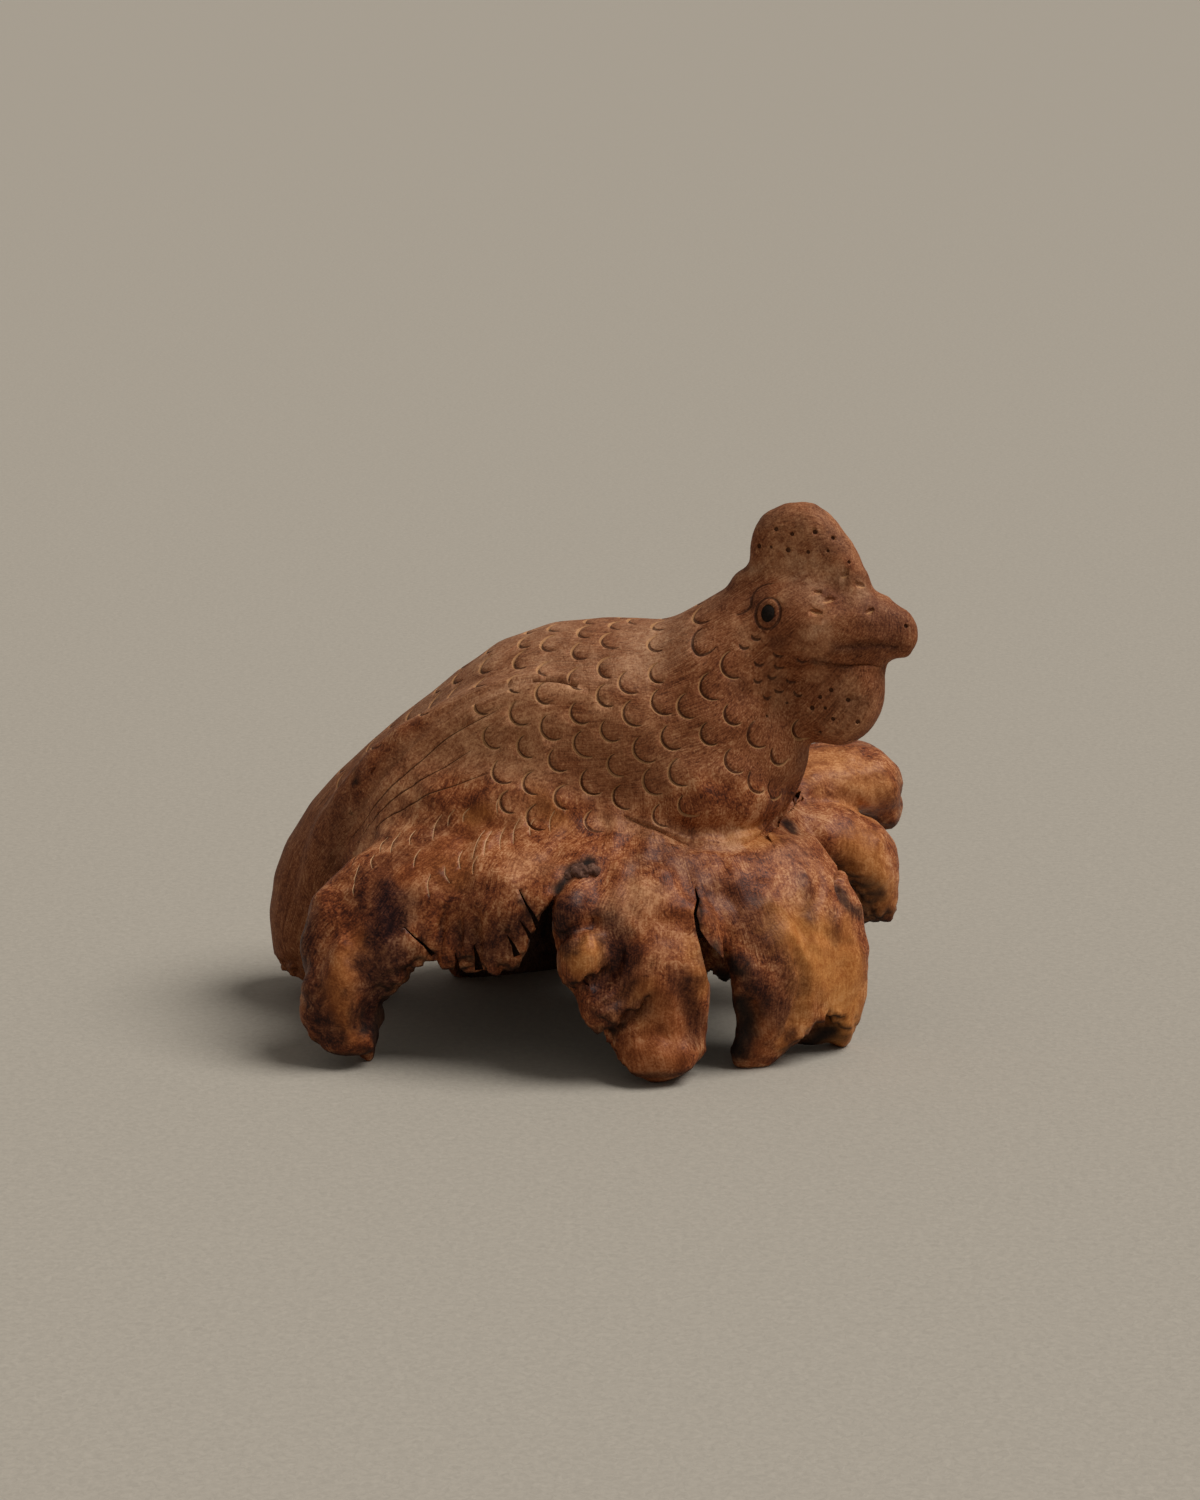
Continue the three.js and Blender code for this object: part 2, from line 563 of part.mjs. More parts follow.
const carving = new THREE.Group();
function addPiece(name, geometry, material) {
  const mesh = new THREE.Mesh(geometry, material);
  mesh.name = name;
  carving.add(mesh);
}
addPiece('carved_hen', geometryOf(block), WOOD);
addPiece('left_eye_peg', inHenFrame(peg(1)), PEG_WOOD);
addPiece('right_eye_peg', inHenFrame(peg(-1)), PEG_WOOD);
addPiece('bark_scrap', scrapOf(0), BARK);

// The origin goes to the middle of the carving's box, on the table
const box = new THREE.Box3().setFromObject(carving);
const middle = box.getCenter(vec(0, 0, 0));
carving.position.set(-middle.x, -middle.y, -box.min.z);

export default carving;
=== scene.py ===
import math
import random

import bpy
import numpy as np
from mathutils import Matrix, Vector
from mathutils.bvhtree import BVHTree
from mathutils.kdtree import KDTree


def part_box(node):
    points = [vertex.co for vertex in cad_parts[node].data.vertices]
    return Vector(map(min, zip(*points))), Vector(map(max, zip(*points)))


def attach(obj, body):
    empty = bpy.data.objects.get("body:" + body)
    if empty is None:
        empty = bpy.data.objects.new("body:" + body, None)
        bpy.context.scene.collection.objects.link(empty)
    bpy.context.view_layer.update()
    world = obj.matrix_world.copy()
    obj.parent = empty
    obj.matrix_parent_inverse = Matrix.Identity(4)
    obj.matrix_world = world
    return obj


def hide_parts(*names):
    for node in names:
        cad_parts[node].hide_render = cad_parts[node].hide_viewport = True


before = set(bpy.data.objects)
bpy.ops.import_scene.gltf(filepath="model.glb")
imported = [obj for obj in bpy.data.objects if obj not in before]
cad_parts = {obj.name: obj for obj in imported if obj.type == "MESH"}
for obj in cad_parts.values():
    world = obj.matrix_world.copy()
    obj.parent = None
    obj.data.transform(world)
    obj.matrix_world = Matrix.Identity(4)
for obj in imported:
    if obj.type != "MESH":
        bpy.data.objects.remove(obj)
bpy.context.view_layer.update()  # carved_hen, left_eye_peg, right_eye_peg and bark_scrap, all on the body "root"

mm = 0.001
scene = bpy.context.scene
scene.view_settings.view_transform = "Standard"
bpy.ops.object.select_all(action="DESELECT")
print("frame loaded,", len(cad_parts), "nodes")


# The hen's own frame, found from its two eyes: it looks along +X and its left is +Y
def middleOf(node):
    low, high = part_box(node)
    return (low + high) / 2


hen = {
    "eyeForward": 34.4,  # mm, from the hen's middle to its eyes
    "burlBehind": 8.0,  # mm, from the burl's middle back to the hen's
    "headFrom": (24, 32), "headAbove": (58, 66),  # mm forward and mm up, where the head fades in
}
leftEye, rightEye = middleOf("left_eye_peg"), middleOf("right_eye_peg")
leftWards = (leftEye - rightEye).normalized()
henTurn = Matrix.Rotation(math.atan2(-leftWards.x, leftWards.y), 4, "Z")
eyesMiddle = (leftEye + rightEye) / 2
henMiddle = Vector((eyesMiddle.x, eyesMiddle.y, 0)) - henTurn @ Vector((hen["eyeForward"] * mm, 0, 0))
henFrame = Matrix.Translation(henMiddle) @ henTurn
henFrameBack = henFrame.inverted()
burlMiddle = henMiddle - Vector((0, hen["burlBehind"] * mm, 0))


def fromHen(x, y, z):
    return henFrame @ Vector((x * mm, y * mm, z * mm))


def fromBurl(x, y, z):
    return burlMiddle + Vector((x * mm, y * mm, z * mm))


# Camera at the photograph's angle
photo = {
    "width": 1200, "height": 1500,  # pixels
    "elevation": 13.0,  # degrees
    "distance": 700.0,  # mm, from the point that the middle of the picture shows
    "targetHeight": 53.6,  # mm
    "lens": 90.72, "sensor": 36.0,  # mm
    "nearest": 10.0,  # mm, nothing closer is drawn
    "edgeDepth": -24.0,  # mm from the burl's middle, for pixels just past the block's edge
}
tilt = math.radians(photo["elevation"])
lookForward = Vector((0, math.cos(tilt), -math.sin(tilt)))
lookUp = Vector((0, math.sin(tilt), math.cos(tilt)))
lookRight = Vector((1, 0, 0))
cameraPlace = fromBurl(0, 0, photo["targetHeight"]) - lookForward * photo["distance"] * mm


def addCamera():
    bpy.ops.object.camera_add(location=cameraPlace, rotation=(math.pi / 2 - tilt, 0, 0))
    camera = bpy.context.active_object
    camera.name = "photoCamera"
    camera.data.lens = photo["lens"]
    camera.data.sensor_width = photo["sensor"]
    camera.data.clip_start = photo["nearest"] * mm
    scene.camera = camera


def photoRay(pixel):
    perPixel = photo["sensor"] / photo["lens"] / photo["height"]
    across = (pixel[0] - photo["width"] / 2) * perPixel
    upwards = (photo["height"] / 2 - pixel[1]) * perPixel
    return (lookForward + lookRight * across + lookUp * upwards).normalized()


def atDepth(pixel, y):  # where a pixel's ray meets the upright plane y mm from the burl's middle
    ray = photoRay(pixel)
    share = (burlMiddle.y + y * mm - cameraPlace.y) / ray.y
    return cameraPlace + ray * share


addCamera()


# Small helpers for working with one object at a time
def pickOnly(piece):
    bpy.ops.object.select_all(action="DESELECT")
    piece.select_set(True)
    bpy.context.view_layer.objects.active = piece


def joinInto(piece, others):
    pickOnly(piece)
    for other in others:
        other.select_set(True)
    bpy.ops.object.join()


def applyModifier(piece, kind, **settings):
    pickOnly(piece)
    modifier = piece.modifiers.new(kind.lower(), kind)
    for key, value in settings.items():
        setattr(modifier, key, value)
    bpy.ops.object.modifier_apply(modifier=modifier.name)


def smooth(piece, passes, group=""):  # on the points of a vertex group, or on all
    applyModifier(piece, "SMOOTH", factor=0.5, iterations=passes, vertex_group=group)


def meshObject(name, points, faces):
    mesh = bpy.data.meshes.new(name)
    mesh.from_pydata([tuple(point) for point in points], [], faces)
    piece = bpy.data.objects.new(name, mesh)
    scene.collection.objects.link(piece)
    return piece


def lump(place, size, turn=(0, 0, 0), name="lump"):  # an oval swelling, half sizes in mm
    bpy.ops.mesh.primitive_uv_sphere_add(
        segments=20, ring_count=12, radius=mm, location=place, scale=size,
        rotation=[math.radians(angle) for angle in turn])
    ball = bpy.context.active_object
    ball.name = name
    bpy.ops.object.transform_apply(location=True, rotation=True, scale=True)
    return ball


def copyOf(piece, name):
    twin = bpy.data.objects.new(name, piece.data.copy())
    scene.collection.objects.link(twin)
    return twin


def editAll(piece, operator, **settings):  # an edit-mode operator on the whole mesh
    pickOnly(piece)
    bpy.ops.object.mode_set(mode="EDIT")
    bpy.ops.mesh.select_all(action="SELECT")
    operator(**settings)
    bpy.ops.object.mode_set(mode="OBJECT")


def clearFinishes(piece):
    piece.data.materials.clear()
    piece.data.polygons.foreach_set("material_index", np.zeros(len(piece.data.polygons), np.int32))


def cutAway(piece, cutter):
    applyModifier(piece, "BOOLEAN", operation="DIFFERENCE", solver="MANIFOLD", object=cutter)
    bpy.data.objects.remove(cutter)


def pointsOf(piece):
    points = np.empty(len(piece.data.vertices) * 3)
    piece.data.vertices.foreach_get("co", points)
    return points.reshape(-1, 3)


def smoothStep(low, high, value):
    share = np.clip((value - low) / (high - low), 0, 1)
    return share * share * (3 - 2 * share)


def weightGroup(piece, name, weights):
    group = piece.vertex_groups.new(name=name)
    for index, weight in enumerate(weights):
        group.add([index], float(weight), "REPLACE")


# Block: the hen and the burl under it are one piece of wood
block = {
    "firstVoxel": 0.9, "lastVoxel": 0.72,  # mm
    "keep": 0.62,  # share of the faces kept before the carving
    "smoothAll": 9, "smoothBody": 16,  # passes on all but the head, and more on the rounded body
    "smoothHead": 4, "smoothFolds": 3,
    "bodyAbove": (30, 45), "feetBelow": (8, 26),  # mm up, where the rounded body begins and the feet end
    "crevicePasses": 14,  # passes of the surface that crevices are measured from
    "forms": [  # hen's frame: place and half sizes in mm, degrees nose down
        ((19.2, 0, 50.4), (18.7, 20.3, 13.5), 13),  # breast
        ((38, 0, 78), (14, 10, 10.5), 0),  # head
        ((55.4, 0, 77.4), (4.6, 3.6, 4.9), 0),  # beak
    ],
    "barkBacking": (4.2, (5, 4, 3.6)),  # wood behind the bark: mm behind its middle, half sizes in mm
}

# Where creases between the joined forms are bridged: reach in mm, a box in mm and the frame it is in
fillers = {
    "flanks": (6.0, ((-70, -60, 30), (12, 60, 90)), Matrix.Translation(burlMiddle)),
    "shoulders": (10.0, ((-12, -40, 50), (30, 40, 80)), henFrame),
    "head": (2.2, ((24, -30, 56), (60, 30, 99)), henFrame),
}

# Swellings on burl, nape and beak: photo pixel, depth from the burl's middle in mm, half sizes in mm
swellings = {
    "legUpperBulge": ((570, 913), -27.5, (4.2, 5.2, 5.2)),
    "legKnob": ((584, 960), -30.5, (4.4, 4.6, 6.0)),
    "legLowerBulge": ((606, 1002), -32.5, (5.2, 5.0, 4.4)),
    "legToe": ((655, 1052), -32.0, (8.4, 6.0, 5.4)),
    "clawMiddle": ((345, 985), -24.0, (4.5, 4.5, 10.0)),
    "clawHeel": ((326, 1003), -22.0, (4.2, 4.5, 8.0)),
    "clawSole": ((349, 1036), -23.5, (5.4, 4.2, 3.4)),
    "rightLegBand": ((772, 980), -22.0, (5.5, 5.0, 12.0)),
    "rightLegInside": ((810, 1027), -12.5, (6.0, 3.6, 3.4)),
    "gapInside": ((719, 954), -16.5, (4.4, 3.6, 5.6)),
    "nape": ((749, 587), -0.3, (3.6, 4.2, 3.4)),
    "beakBridge": ((884, 606), -5.8, (1.9, 3.2, 2.2)),
    "beakTip": ((902, 649), -6.9, (1.9, 2.6, 1.8)),
    "skirtDropA": ((433, 940), -22.0, (2.6, 3.0, 3.8)),
    "skirtDropB": ((449, 946), -23.0, (2.6, 3.0, 4.2)),
    "skirtDropC": ((468, 943), -24.0, (2.4, 3.0, 3.8)),
    "skirtDropD": ((497, 949), -25.0, (3.6, 3.4, 4.8)),
    "skirtDropE": ((518, 935), -25.5, (2.6, 3.0, 3.6)),
}

# Slots cut right through the wall: photo pixels along the middle, each with the half width there,
# and the near and far depth in mm
slots = {
    "besideFrontLeg": ([(592, 861, 2), (575, 868, 4), (559, 890, 4), (549, 908, 5), (543, 930, 10),
                        (543, 950, 17), (538, 985, 26)], (-48, -15)),
    "betweenLegs": ([(707, 960, 2), (712, 974, 6), (717, 986, 10), (722, 1003, 14), (721, 1030, 13),
                     (716, 1075, 12)], (-48, -8)),
    "clawInside": ([(388, 1080, 15), (388, 1055, 14), (389, 1032, 14), (396, 1014, 14), (408, 998, 14),
                    (425, 982, 12)], (-48, -10)),
}

# Cracks: as the slots, but narrow and cut last, so that their edges stay sharp; their walls get painted shade
cracks = {
    "legSlit": ([(695, 888, 0.4), (698, 900, 1.5), (695, 914, 1.6), (698, 930, 2.2), (705, 946, 5),
                 (714, 962, 10), (719, 978, 11), (722, 992, 8)], (-48, -22)),
    "skirtA": ([(457, 970, 3.0), (457, 961, 1.6), (455, 953, 0.4)], (-45, -20)),
    "skirtB": ([(479, 970, 4.4), (477, 957, 2.4), (474, 945, 0.4)], (-45, -20)),
    "skirtC": ([(517, 956, 3.6), (513, 945, 1.8), (507, 935, 0.4)], (-45, -20)),
    "skirtD": ([(531, 938, 2.6), (526, 929, 1.5), (520, 921, 0.4)], (-45, -20)),
    "skirtE": ([(538, 927, 3.0), (533, 915, 2.0), (526, 904, 1.1), (519, 890, 0.4)], (-45, -20)),
    "clawRim": ([(433, 955, 2.2), (424, 945, 1.3), (414, 937, 0.9), (404, 927, 0.4)], (-45, -21)),
}

# Notches: photo pixels round each, near and far depth in mm
notches = {
    "rightFoot": ([(764, 1073), (776, 1060), (790, 1048), (806, 1034), (822, 1023), (837, 1015), (841, 1024),
                   (838, 1048), (838, 1082), (764, 1082)], (-48, -17)),
    "toeRight": ([(716, 1036), (708, 1046), (700, 1060), (688, 1071), (670, 1079), (668, 1092), (716, 1092)],
                 (-48, -20)),
    "toeLeft": ([(600, 1044), (614, 1046), (620, 1058), (632, 1070), (646, 1079), (648, 1092), (600, 1092)],
                (-48, -20)),
}

# Hollows: photo pixel, depth in mm, half sizes in mm
hollows = {
    "footHollow": ((747, 1024), -29.5, (3.0, 3.4, 5.6)),
    "barkHole": ((789, 828), -17.0, (1.4, 3.0, 0.9)),
    "tailKnot": ((352, 780), -9.5, (2.2, 1.6, 1.2)),
}


# Folds between the swellings: photo pixels along each, slope on its left and right and depth, all in mm
folds = {
    "underUpperBulge": ([(552, 937), (564, 934), (580, 930), (600, 922)], 1.6, 1.6, 1.0),
    "underKnob": ([(570, 991), (586, 987), (604, 981), (617, 966), (622, 945)], 1.6, 1.4, 2.0),
    "aboveFoot": ([(603, 1040), (617, 1028), (630, 1018), (645, 1003), (660, 985)], 1.2, 1.6, 2.2),
    "legFold": ([(588, 1012), (606, 1006), (626, 996), (645, 975), (656, 955)], 1.4, 1.8, 1.1),
    "footEdge": ([(676, 980), (686, 1000), (692, 1022), (692, 1048)], 1.6, 2.4, 0.8),
    "bandEdge": ([(783, 930), (793, 952), (799, 975), (799, 1000), (790, 1024), (778, 1044)], 3.2, 0.7, 1.2),
    "skirtCrackLow": ([(516, 914), (522, 925), (529, 936)], 0.5, 0.6, 1.4),
    "dropAB": ([(446, 902), (443, 920), (441, 936), (441, 958)], 0.9, 0.9, 1.6),
    "dropBC": ([(461, 906), (458, 922), (459, 938), (460, 962)], 0.9, 0.9, 1.6),
    "dropCD": ([(483, 908), (477, 924), (477, 940), (480, 966)], 0.9, 0.9, 1.8),
    "dropDE": ([(500, 915), (506, 930), (510, 944), (514, 966)], 0.8, 0.9, 1.8),
    "flankLine": ([(527, 846), (505, 858), (486, 870), (468, 886)], 0.6, 0.6, 0.5),
    "lobeCrack": ([(836, 862), (840, 876), (839, 892), (846, 908)], 1.0, 1.0, 2.0),
}


def inMillimetres(points, place):
    return (points - np.array(place)) / mm


def henPlaces(points):  # rows of x, y, z in the hen's own frame, mm
    return inMillimetres(points, henMiddle) @ np.array(henTurn.to_3x3())


def burlPlaces(points):  # rows of x, y, z from the burl's middle, mm
    return inMillimetres(points, burlMiddle)


def normalsOf(piece):
    normals = np.empty(len(piece.data.vertices) * 3, np.float32)
    piece.data.vertex_normals.foreach_get("vector", normals)
    return normals.reshape(-1, 3)


def movePoints(piece, points):
    piece.data.vertices.foreach_set("co", points.ravel())
    piece.data.update()


def swell(piece, reach):  # reach in mm along the normal, one for all points or one each
    movePoints(piece, pointsOf(piece) + normalsOf(piece) * np.reshape(reach, (-1, 1)) * mm)


def remesh(piece, voxel):
    pickOnly(piece)
    piece.data.remesh_voxel_size = voxel * mm
    bpy.ops.object.voxel_remesh()


def onHead(points):
    place = henPlaces(points)
    return smoothStep(*hen["headFrom"], place[:, 0]) * smoothStep(*hen["headAbove"], place[:, 2])


def boxAround(corners, turn):  # a closed box from its lowest and highest corner, mm
    low, high = Vector(corners[0]), Vector(corners[1])
    bpy.ops.mesh.primitive_cube_add(size=1, scale=(high - low) * mm)
    box = bpy.context.active_object
    bpy.ops.object.transform_apply(location=True, rotation=True, scale=True)
    box.data.transform(turn @ Matrix.Translation((low + high) / 2 * mm))
    return box


def fillCreases(piece):  # swollen and shrunk copies bridge the creases, in the fillers' boxes only
    bridges = []
    for reach, corners, turn in fillers.values():
        bridge = copyOf(piece, "bridge")
        swell(bridge, reach)
        remesh(bridge, block["firstVoxel"])
        swell(bridge, -reach)
        remesh(bridge, block["firstVoxel"])
        region = boxAround(corners, turn)
        applyModifier(bridge, "BOOLEAN", operation="INTERSECT", solver="MANIFOLD", object=region)
        bpy.data.objects.remove(region)
        bridges.append(bridge)
    joinInto(piece, bridges)
    remesh(piece, block["firstVoxel"])


def slotBlade(name, path, depths):
    middle = [Vector(stop[:2]) for stop in path]
    sides = []
    for index, stop in enumerate(path):
        before, after = middle[max(index - 1, 0)], middle[min(index + 1, len(path) - 1)]
        along = (after - before).normalized()
        sides.append((middle[index], Vector((-along.y, along.x)) * stop[2]))
    outline = [spot + out for spot, out in sides] + [spot - out for spot, out in reversed(sides)]
    return outlineBlade(name, outline, depths)


def outlineBlade(name, outline, depths):
    near, far = depths
    count = len(outline)
    points = [atDepth(pixel, near) for pixel in outline] + [atDepth(pixel, far) for pixel in outline]
    walls = [(i, (i + 1) % count, count + (i + 1) % count, count + i) for i in range(count)]
    ends = [tuple(reversed(range(count))), tuple(range(count, 2 * count))]
    blade = meshObject(name, points, walls + ends)
    editAll(blade, bpy.ops.mesh.normals_make_consistent, inside=False)
    return blade


def roughBlock():
    piece = copyOf(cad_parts["carved_hen"], "carvedHen")
    editAll(piece, bpy.ops.mesh.remove_doubles, threshold=0.001 * mm)
    clearFinishes(piece)
    heading = math.degrees(henTurn.to_euler().z)
    added = [lump(fromHen(*place), size, (0, dip, heading)) for place, size, dip in block["forms"]]
    behind, size = block["barkBacking"]
    added.append(lump(middleOf("bark_scrap") + Vector((0, behind * mm, 0)), size))
    for name, (pixel, depth, size) in swellings.items():
        added.append(lump(atDepth(pixel, depth), size, name=name))
    joinInto(piece, added)
    remesh(piece, block["firstVoxel"])
    return piece


def openSlots(piece):
    for name, (path, depths) in slots.items():
        cutAway(piece, slotBlade(name, path, depths))
    for name, (outline, depths) in notches.items():
        cutAway(piece, outlineBlade(name, outline, depths))
    for name, (pixel, depth, size) in hollows.items():
        cutAway(piece, lump(atDepth(pixel, depth), size, name=name))
    remesh(piece, block["lastVoxel"])


def soften(piece):
    head = onHead(pointsOf(piece))
    height = burlPlaces(pointsOf(piece))[:, 2]
    weightGroup(piece, "notHead", 1 - head)
    rounded = np.maximum(smoothStep(*block["bodyAbove"], height), 1 - smoothStep(*block["feetBelow"], height))
    weightGroup(piece, "body", (1 - head) * rounded)
    smooth(piece, block["smoothHead"])
    smooth(piece, block["smoothAll"], "notHead")
    smooth(piece, block["smoothBody"], "body")
    piece.vertex_groups.clear()


def smoothBlock(piece):  # softened, and given back what a second softening takes, so that lobes stay full
    soften(piece)
    twice = copyOf(piece, "softenedTwice")
    soften(twice)
    movePoints(piece, 2 * pointsOf(piece) - pointsOf(twice))
    bpy.data.objects.remove(twice)


# Relief that the burl grew with: size and height in mm
relief = {
    "lump": (9.0, 0.6), "fold": (4.0, 0.4), "pit": (1.6, 0.15),
    "rib": (1.0, 0.5), "ribSize": (3.4, 15.0),  # ribs run down the lobes: mm across and along for each step
    "rim": (2.2, 1.0), "ragged": (1.1, 0.5),
    "farLump": (7.0, 1.3), "farFold": (3.2, 0.6),  # more on the far side, where no swelling is listed
    "henWave": (9.0, 0.22), "headWave": (4.2, 0.22), "headPit": (1.7, 0.10),
    "warp": (9.0, 3.0),  # how the patterns wander: size and reach
    "clearOfFloor": (0.3, 4),  # mm up, where relief fades in
    "farFrom": (0, 14), "farUpTo": (24, 34),  # mm back and to the right, where the far side begins and ends
    "rimTurn": (0.1, 0.7), "rimAbove": (2.5, 6), "rimBelow": (30, 36),  # how far it faces down, and mm up
}

# The hen's own wood: distance from this line, as a share of the body's radius there, parts hen from burl
henLine = {
    "stops": [(38, 76, 16), (26, 64, 18), (14, 58, 20), (0, 56.5, 21.5), (-14, 52, 22), (-26, 45, 20.5),
              (-38, 36, 18.5), (-48, 26, 16.5), (-53, 13, 15.5), (-51, 2, 13)],  # forward, up, radius in mm
    "edge": (1.02, 1.16),
    "headAbove": (60, 66), "breastFrom": (24, 30), "breastAbove": (50, 54),  # mm, hen at any distance from it
}

# Fibres run down and out from the burl's heart, and from the hen's head to its tail
fibre = {
    "heart": (6, 4),  # mm to the right and back from the burl's middle
    "around": 30, "henAround": 20,  # mm across for each radian
    "fall": 0.6, "out": 0.2,  # how far they fall for each mm outwards, and how far apart layers lie
}


def cornerNoise(cell, seed):  # a fixed number from -1 to 1 for each whole-numbered place
    mixed = cell[:, 0] * 374761393 + cell[:, 1] * 668265263 + cell[:, 2] * 1440662683 + seed * 1274126177
    mixed = (mixed ^ (mixed >> 13)) * 1103515245
    return ((mixed ^ (mixed >> 16)) & 65535) / 32767.5 - 1


def noiseAt(points, size, seed=0):  # smooth noise from -1 to 1; points and size in mm
    scaled = points / size
    cell = np.floor(scaled).astype(np.int64)
    share = scaled - cell
    share = share ** 3 * (share * (share * 6 - 15) + 10)
    total = np.zeros(len(points))
    for corner in np.ndindex(2, 2, 2):
        weight = np.prod(np.where(corner, share, 1 - share), axis=1)
        total += weight * cornerNoise(cell + np.array(corner), seed)
    return total


def fromHeart(place):  # mm to the right of the burl's heart, mm behind it, and the distance
    aside, back = place[:, 0] - fibre["heart"][0], place[:, 1] - fibre["heart"][1]
    return aside, back, np.hypot(aside, back)


def fibrePlaces(points):  # across, along and out, mm
    place = burlPlaces(points)
    aside, back, out = fromHeart(place)
    across = np.arctan2(aside, -back) * fibre["around"]
    return np.stack([across, place[:, 2] - fibre["fall"] * out, fibre["out"] * out], axis=1)


def burlShare(points):  # 0 on the hen, 1 on the burl
    place = henPlaces(points)
    best = np.full(len(points), 9.0)
    for (x0, z0, r0), (x1, z1, r1) in zip(henLine["stops"], henLine["stops"][1:]):
        along = np.array([x1 - x0, 0, z1 - z0])
        start = np.array([x0, 0, z0])
        share = np.clip((place - start) @ along / (along @ along), 0, 1)
        apart = np.linalg.norm(place - start - share[:, None] * along, axis=1)
        best = np.minimum(best, apart / (r0 + (r1 - r0) * share))
    head = smoothStep(*henLine["headAbove"], place[:, 2])
    breast = smoothStep(*henLine["breastFrom"], place[:, 0])
    breast = breast * smoothStep(*henLine["breastAbove"], place[:, 2])
    high = np.maximum(head, breast)
    return smoothStep(*henLine["edge"], best) * (1 - high)


def rimShare(piece):  # 1 along the burl's lower edges, which hang free
    downwards = smoothStep(*relief["rimTurn"], -normalsOf(piece)[:, 2])
    height = burlPlaces(pointsOf(piece))[:, 2]
    return downwards * smoothStep(*relief["rimAbove"], height) * (1 - smoothStep(*relief["rimBelow"], height))


def creviceDepth(piece):  # mm that each point lies below the smoothed surface, with a tree to look it up
    softened = copyOf(piece, "softened")
    smooth(softened, block["crevicePasses"])
    points = pointsOf(piece)
    below = np.sum((pointsOf(softened) - points) * normalsOf(piece), axis=1) / mm
    bpy.data.objects.remove(softened)
    tree = KDTree(len(points))
    for index, point in enumerate(points):
        tree.insert(point, index)
    tree.balance()
    return tree, below


def growBurl(piece):
    points = pointsOf(piece)
    place = burlPlaces(points)
    burl, head, rim = burlShare(points), onHead(points), rimShare(piece)
    far = burl * smoothStep(*relief["farFrom"], place[:, 1])
    far = far * (1 - smoothStep(*relief["farUpTo"], place[:, 0]))
    size, reach = relief["warp"]
    warped = place + reach * np.stack([noiseAt(place, size, seed) for seed in (1, 2, 3)], axis=1)
    across, along = relief["ribSize"]
    ribs = (fibrePlaces(points) + warped - place) / np.array([across, along, along])
    layers = [  # where it shows, what its pattern follows, seed and name
        (burl, warped, 4, "lump"), (burl, warped, 5, "fold"), (burl, warped, 6, "pit"),
        (burl, ribs, 7, "rib"), (rim, warped, 8, "rim"), (rim, warped, 9, "ragged"),
        (far, warped, 14, "farLump"), (far, warped, 15, "farFold"),
        ((1 - burl) * (1 - head), place, 10, "henWave"),
        (head, place, 11, "headWave"), (head, place, 12, "headPit"),
    ]
    height = np.zeros(len(points))
    for share, pattern, seed, name in layers:
        size, rise = relief[name]
        height += share * rise * noiseAt(pattern, size, seed)
    swell(piece, height * smoothStep(*relief["clearOfFloor"], place[:, 2]))


# Skin: the block's surface as it was before a round of cuts, for laying blades on it
class Skin:
    def __init__(self, piece):
        self.tree = BVHTree.FromObject(piece, bpy.context.evaluated_depsgraph_get())
        self.corners = [tuple(side.vertices) for side in piece.data.polygons]
        self.normals = [Vector(normal) for normal in normalsOf(piece).tolist()]

    def smoothNormal(self, side):
        return sum((self.normals[corner] for corner in self.corners[side]), Vector()).normalized()


skins = []


def seenAt(pixel):  # where the photograph's pixel falls on the block
    place, _, side, _ = skins[-1].tree.ray_cast(cameraPlace, photoRay(pixel))
    if place is None:  # just past an edge: the nearest place on it
        return nearestOn(atDepth(pixel, photo["edgeDepth"]))
    return place, skins[-1].smoothNormal(side)


def nearestOn(place):
    spot, _, side, _ = skins[-1].tree.find_nearest(place)
    return spot, skins[-1].smoothNormal(side)


def mirrored(place):  # the same spot on the hen's other side
    local = henFrameBack @ place
    return nearestOn(henFrame @ Vector((local.x, -local.y, local.z)))


# A sheaf of blades is gathered as points and faces, and becomes one cutter
class Sheaf:
    def __init__(self, name):
        self.name = name
        self.points = []
        self.faces = []
        self.finishes = []

    def add(self, points, faces, finishes):
        start = len(self.points)
        self.points += points
        self.faces += [tuple(start + corner for corner in face) for face in faces]
        self.finishes += finishes

    def cut(self, piece):
        cutter = meshObject(self.name, self.points, self.faces)
        for finish in cutFinishes:
            cutter.data.materials.append(finish)
        cutter.data.polygons.foreach_set("material_index", self.finishes)
        cutAway(piece, cutter)


# Finishes that only mark what kind of cut a face came from: a slope, which gets painted highlight,
# a steep wall, which gets painted shade, a pale scratch, or nothing special
cutFinishes = [bpy.data.materials.new(name) for name in ("cutSlopeLit", "cutWallShaded", "cutPale", "cutPlain")]
litSlopeMark, shadedWallMark, paleMark, plainMark = range(4)
# a gouge cut: painted highlight on its outer slope, painted shade on its steep wall
gougeMarks = (litSlopeMark, shadedWallMark, shadedWallMark)

# Gouge: how its blades lie on the skin
gouge = {
    "lift": 0.35, "tipLift": 0.1,  # mm that a blade and its tips stand out of the wood
    "taper": 0.6,  # power; smaller keeps a blade full for longer
    "steady": 3,  # stops to each side that steady a stop's normal
    "arcBack": 0.5,  # share of its radius that an arc's centre lies back
}


def bladeFaces(stops, marks):  # a three-sided blade: a tip, rings of three, and a tip
    last = 1 + 3 * stops
    end = last - 3
    faces = [(0, 1, 2), (0, 2, 3), (0, 3, 1)]
    for ring in range(stops - 1):
        for side in range(3):
            a, b = 1 + 3 * ring + side, 1 + 3 * ring + (side + 1) % 3
            faces.append((a, a + 3, b + 3, b))
    faces += [(last, end + 1, end), (last, end + 2, end + 1), (last, end, end + 2)]
    return faces, (marks * (len(faces) // 3))


def steadied(run):  # each normal is shared with its neighbours, so that a blade does not wobble
    normals = [normal for _, normal in run]
    near = gouge["steady"]
    return [(place, sum(normals[max(0, index - near):index + near + 1], Vector()).normalized())
            for index, (place, _) in enumerate(run)]


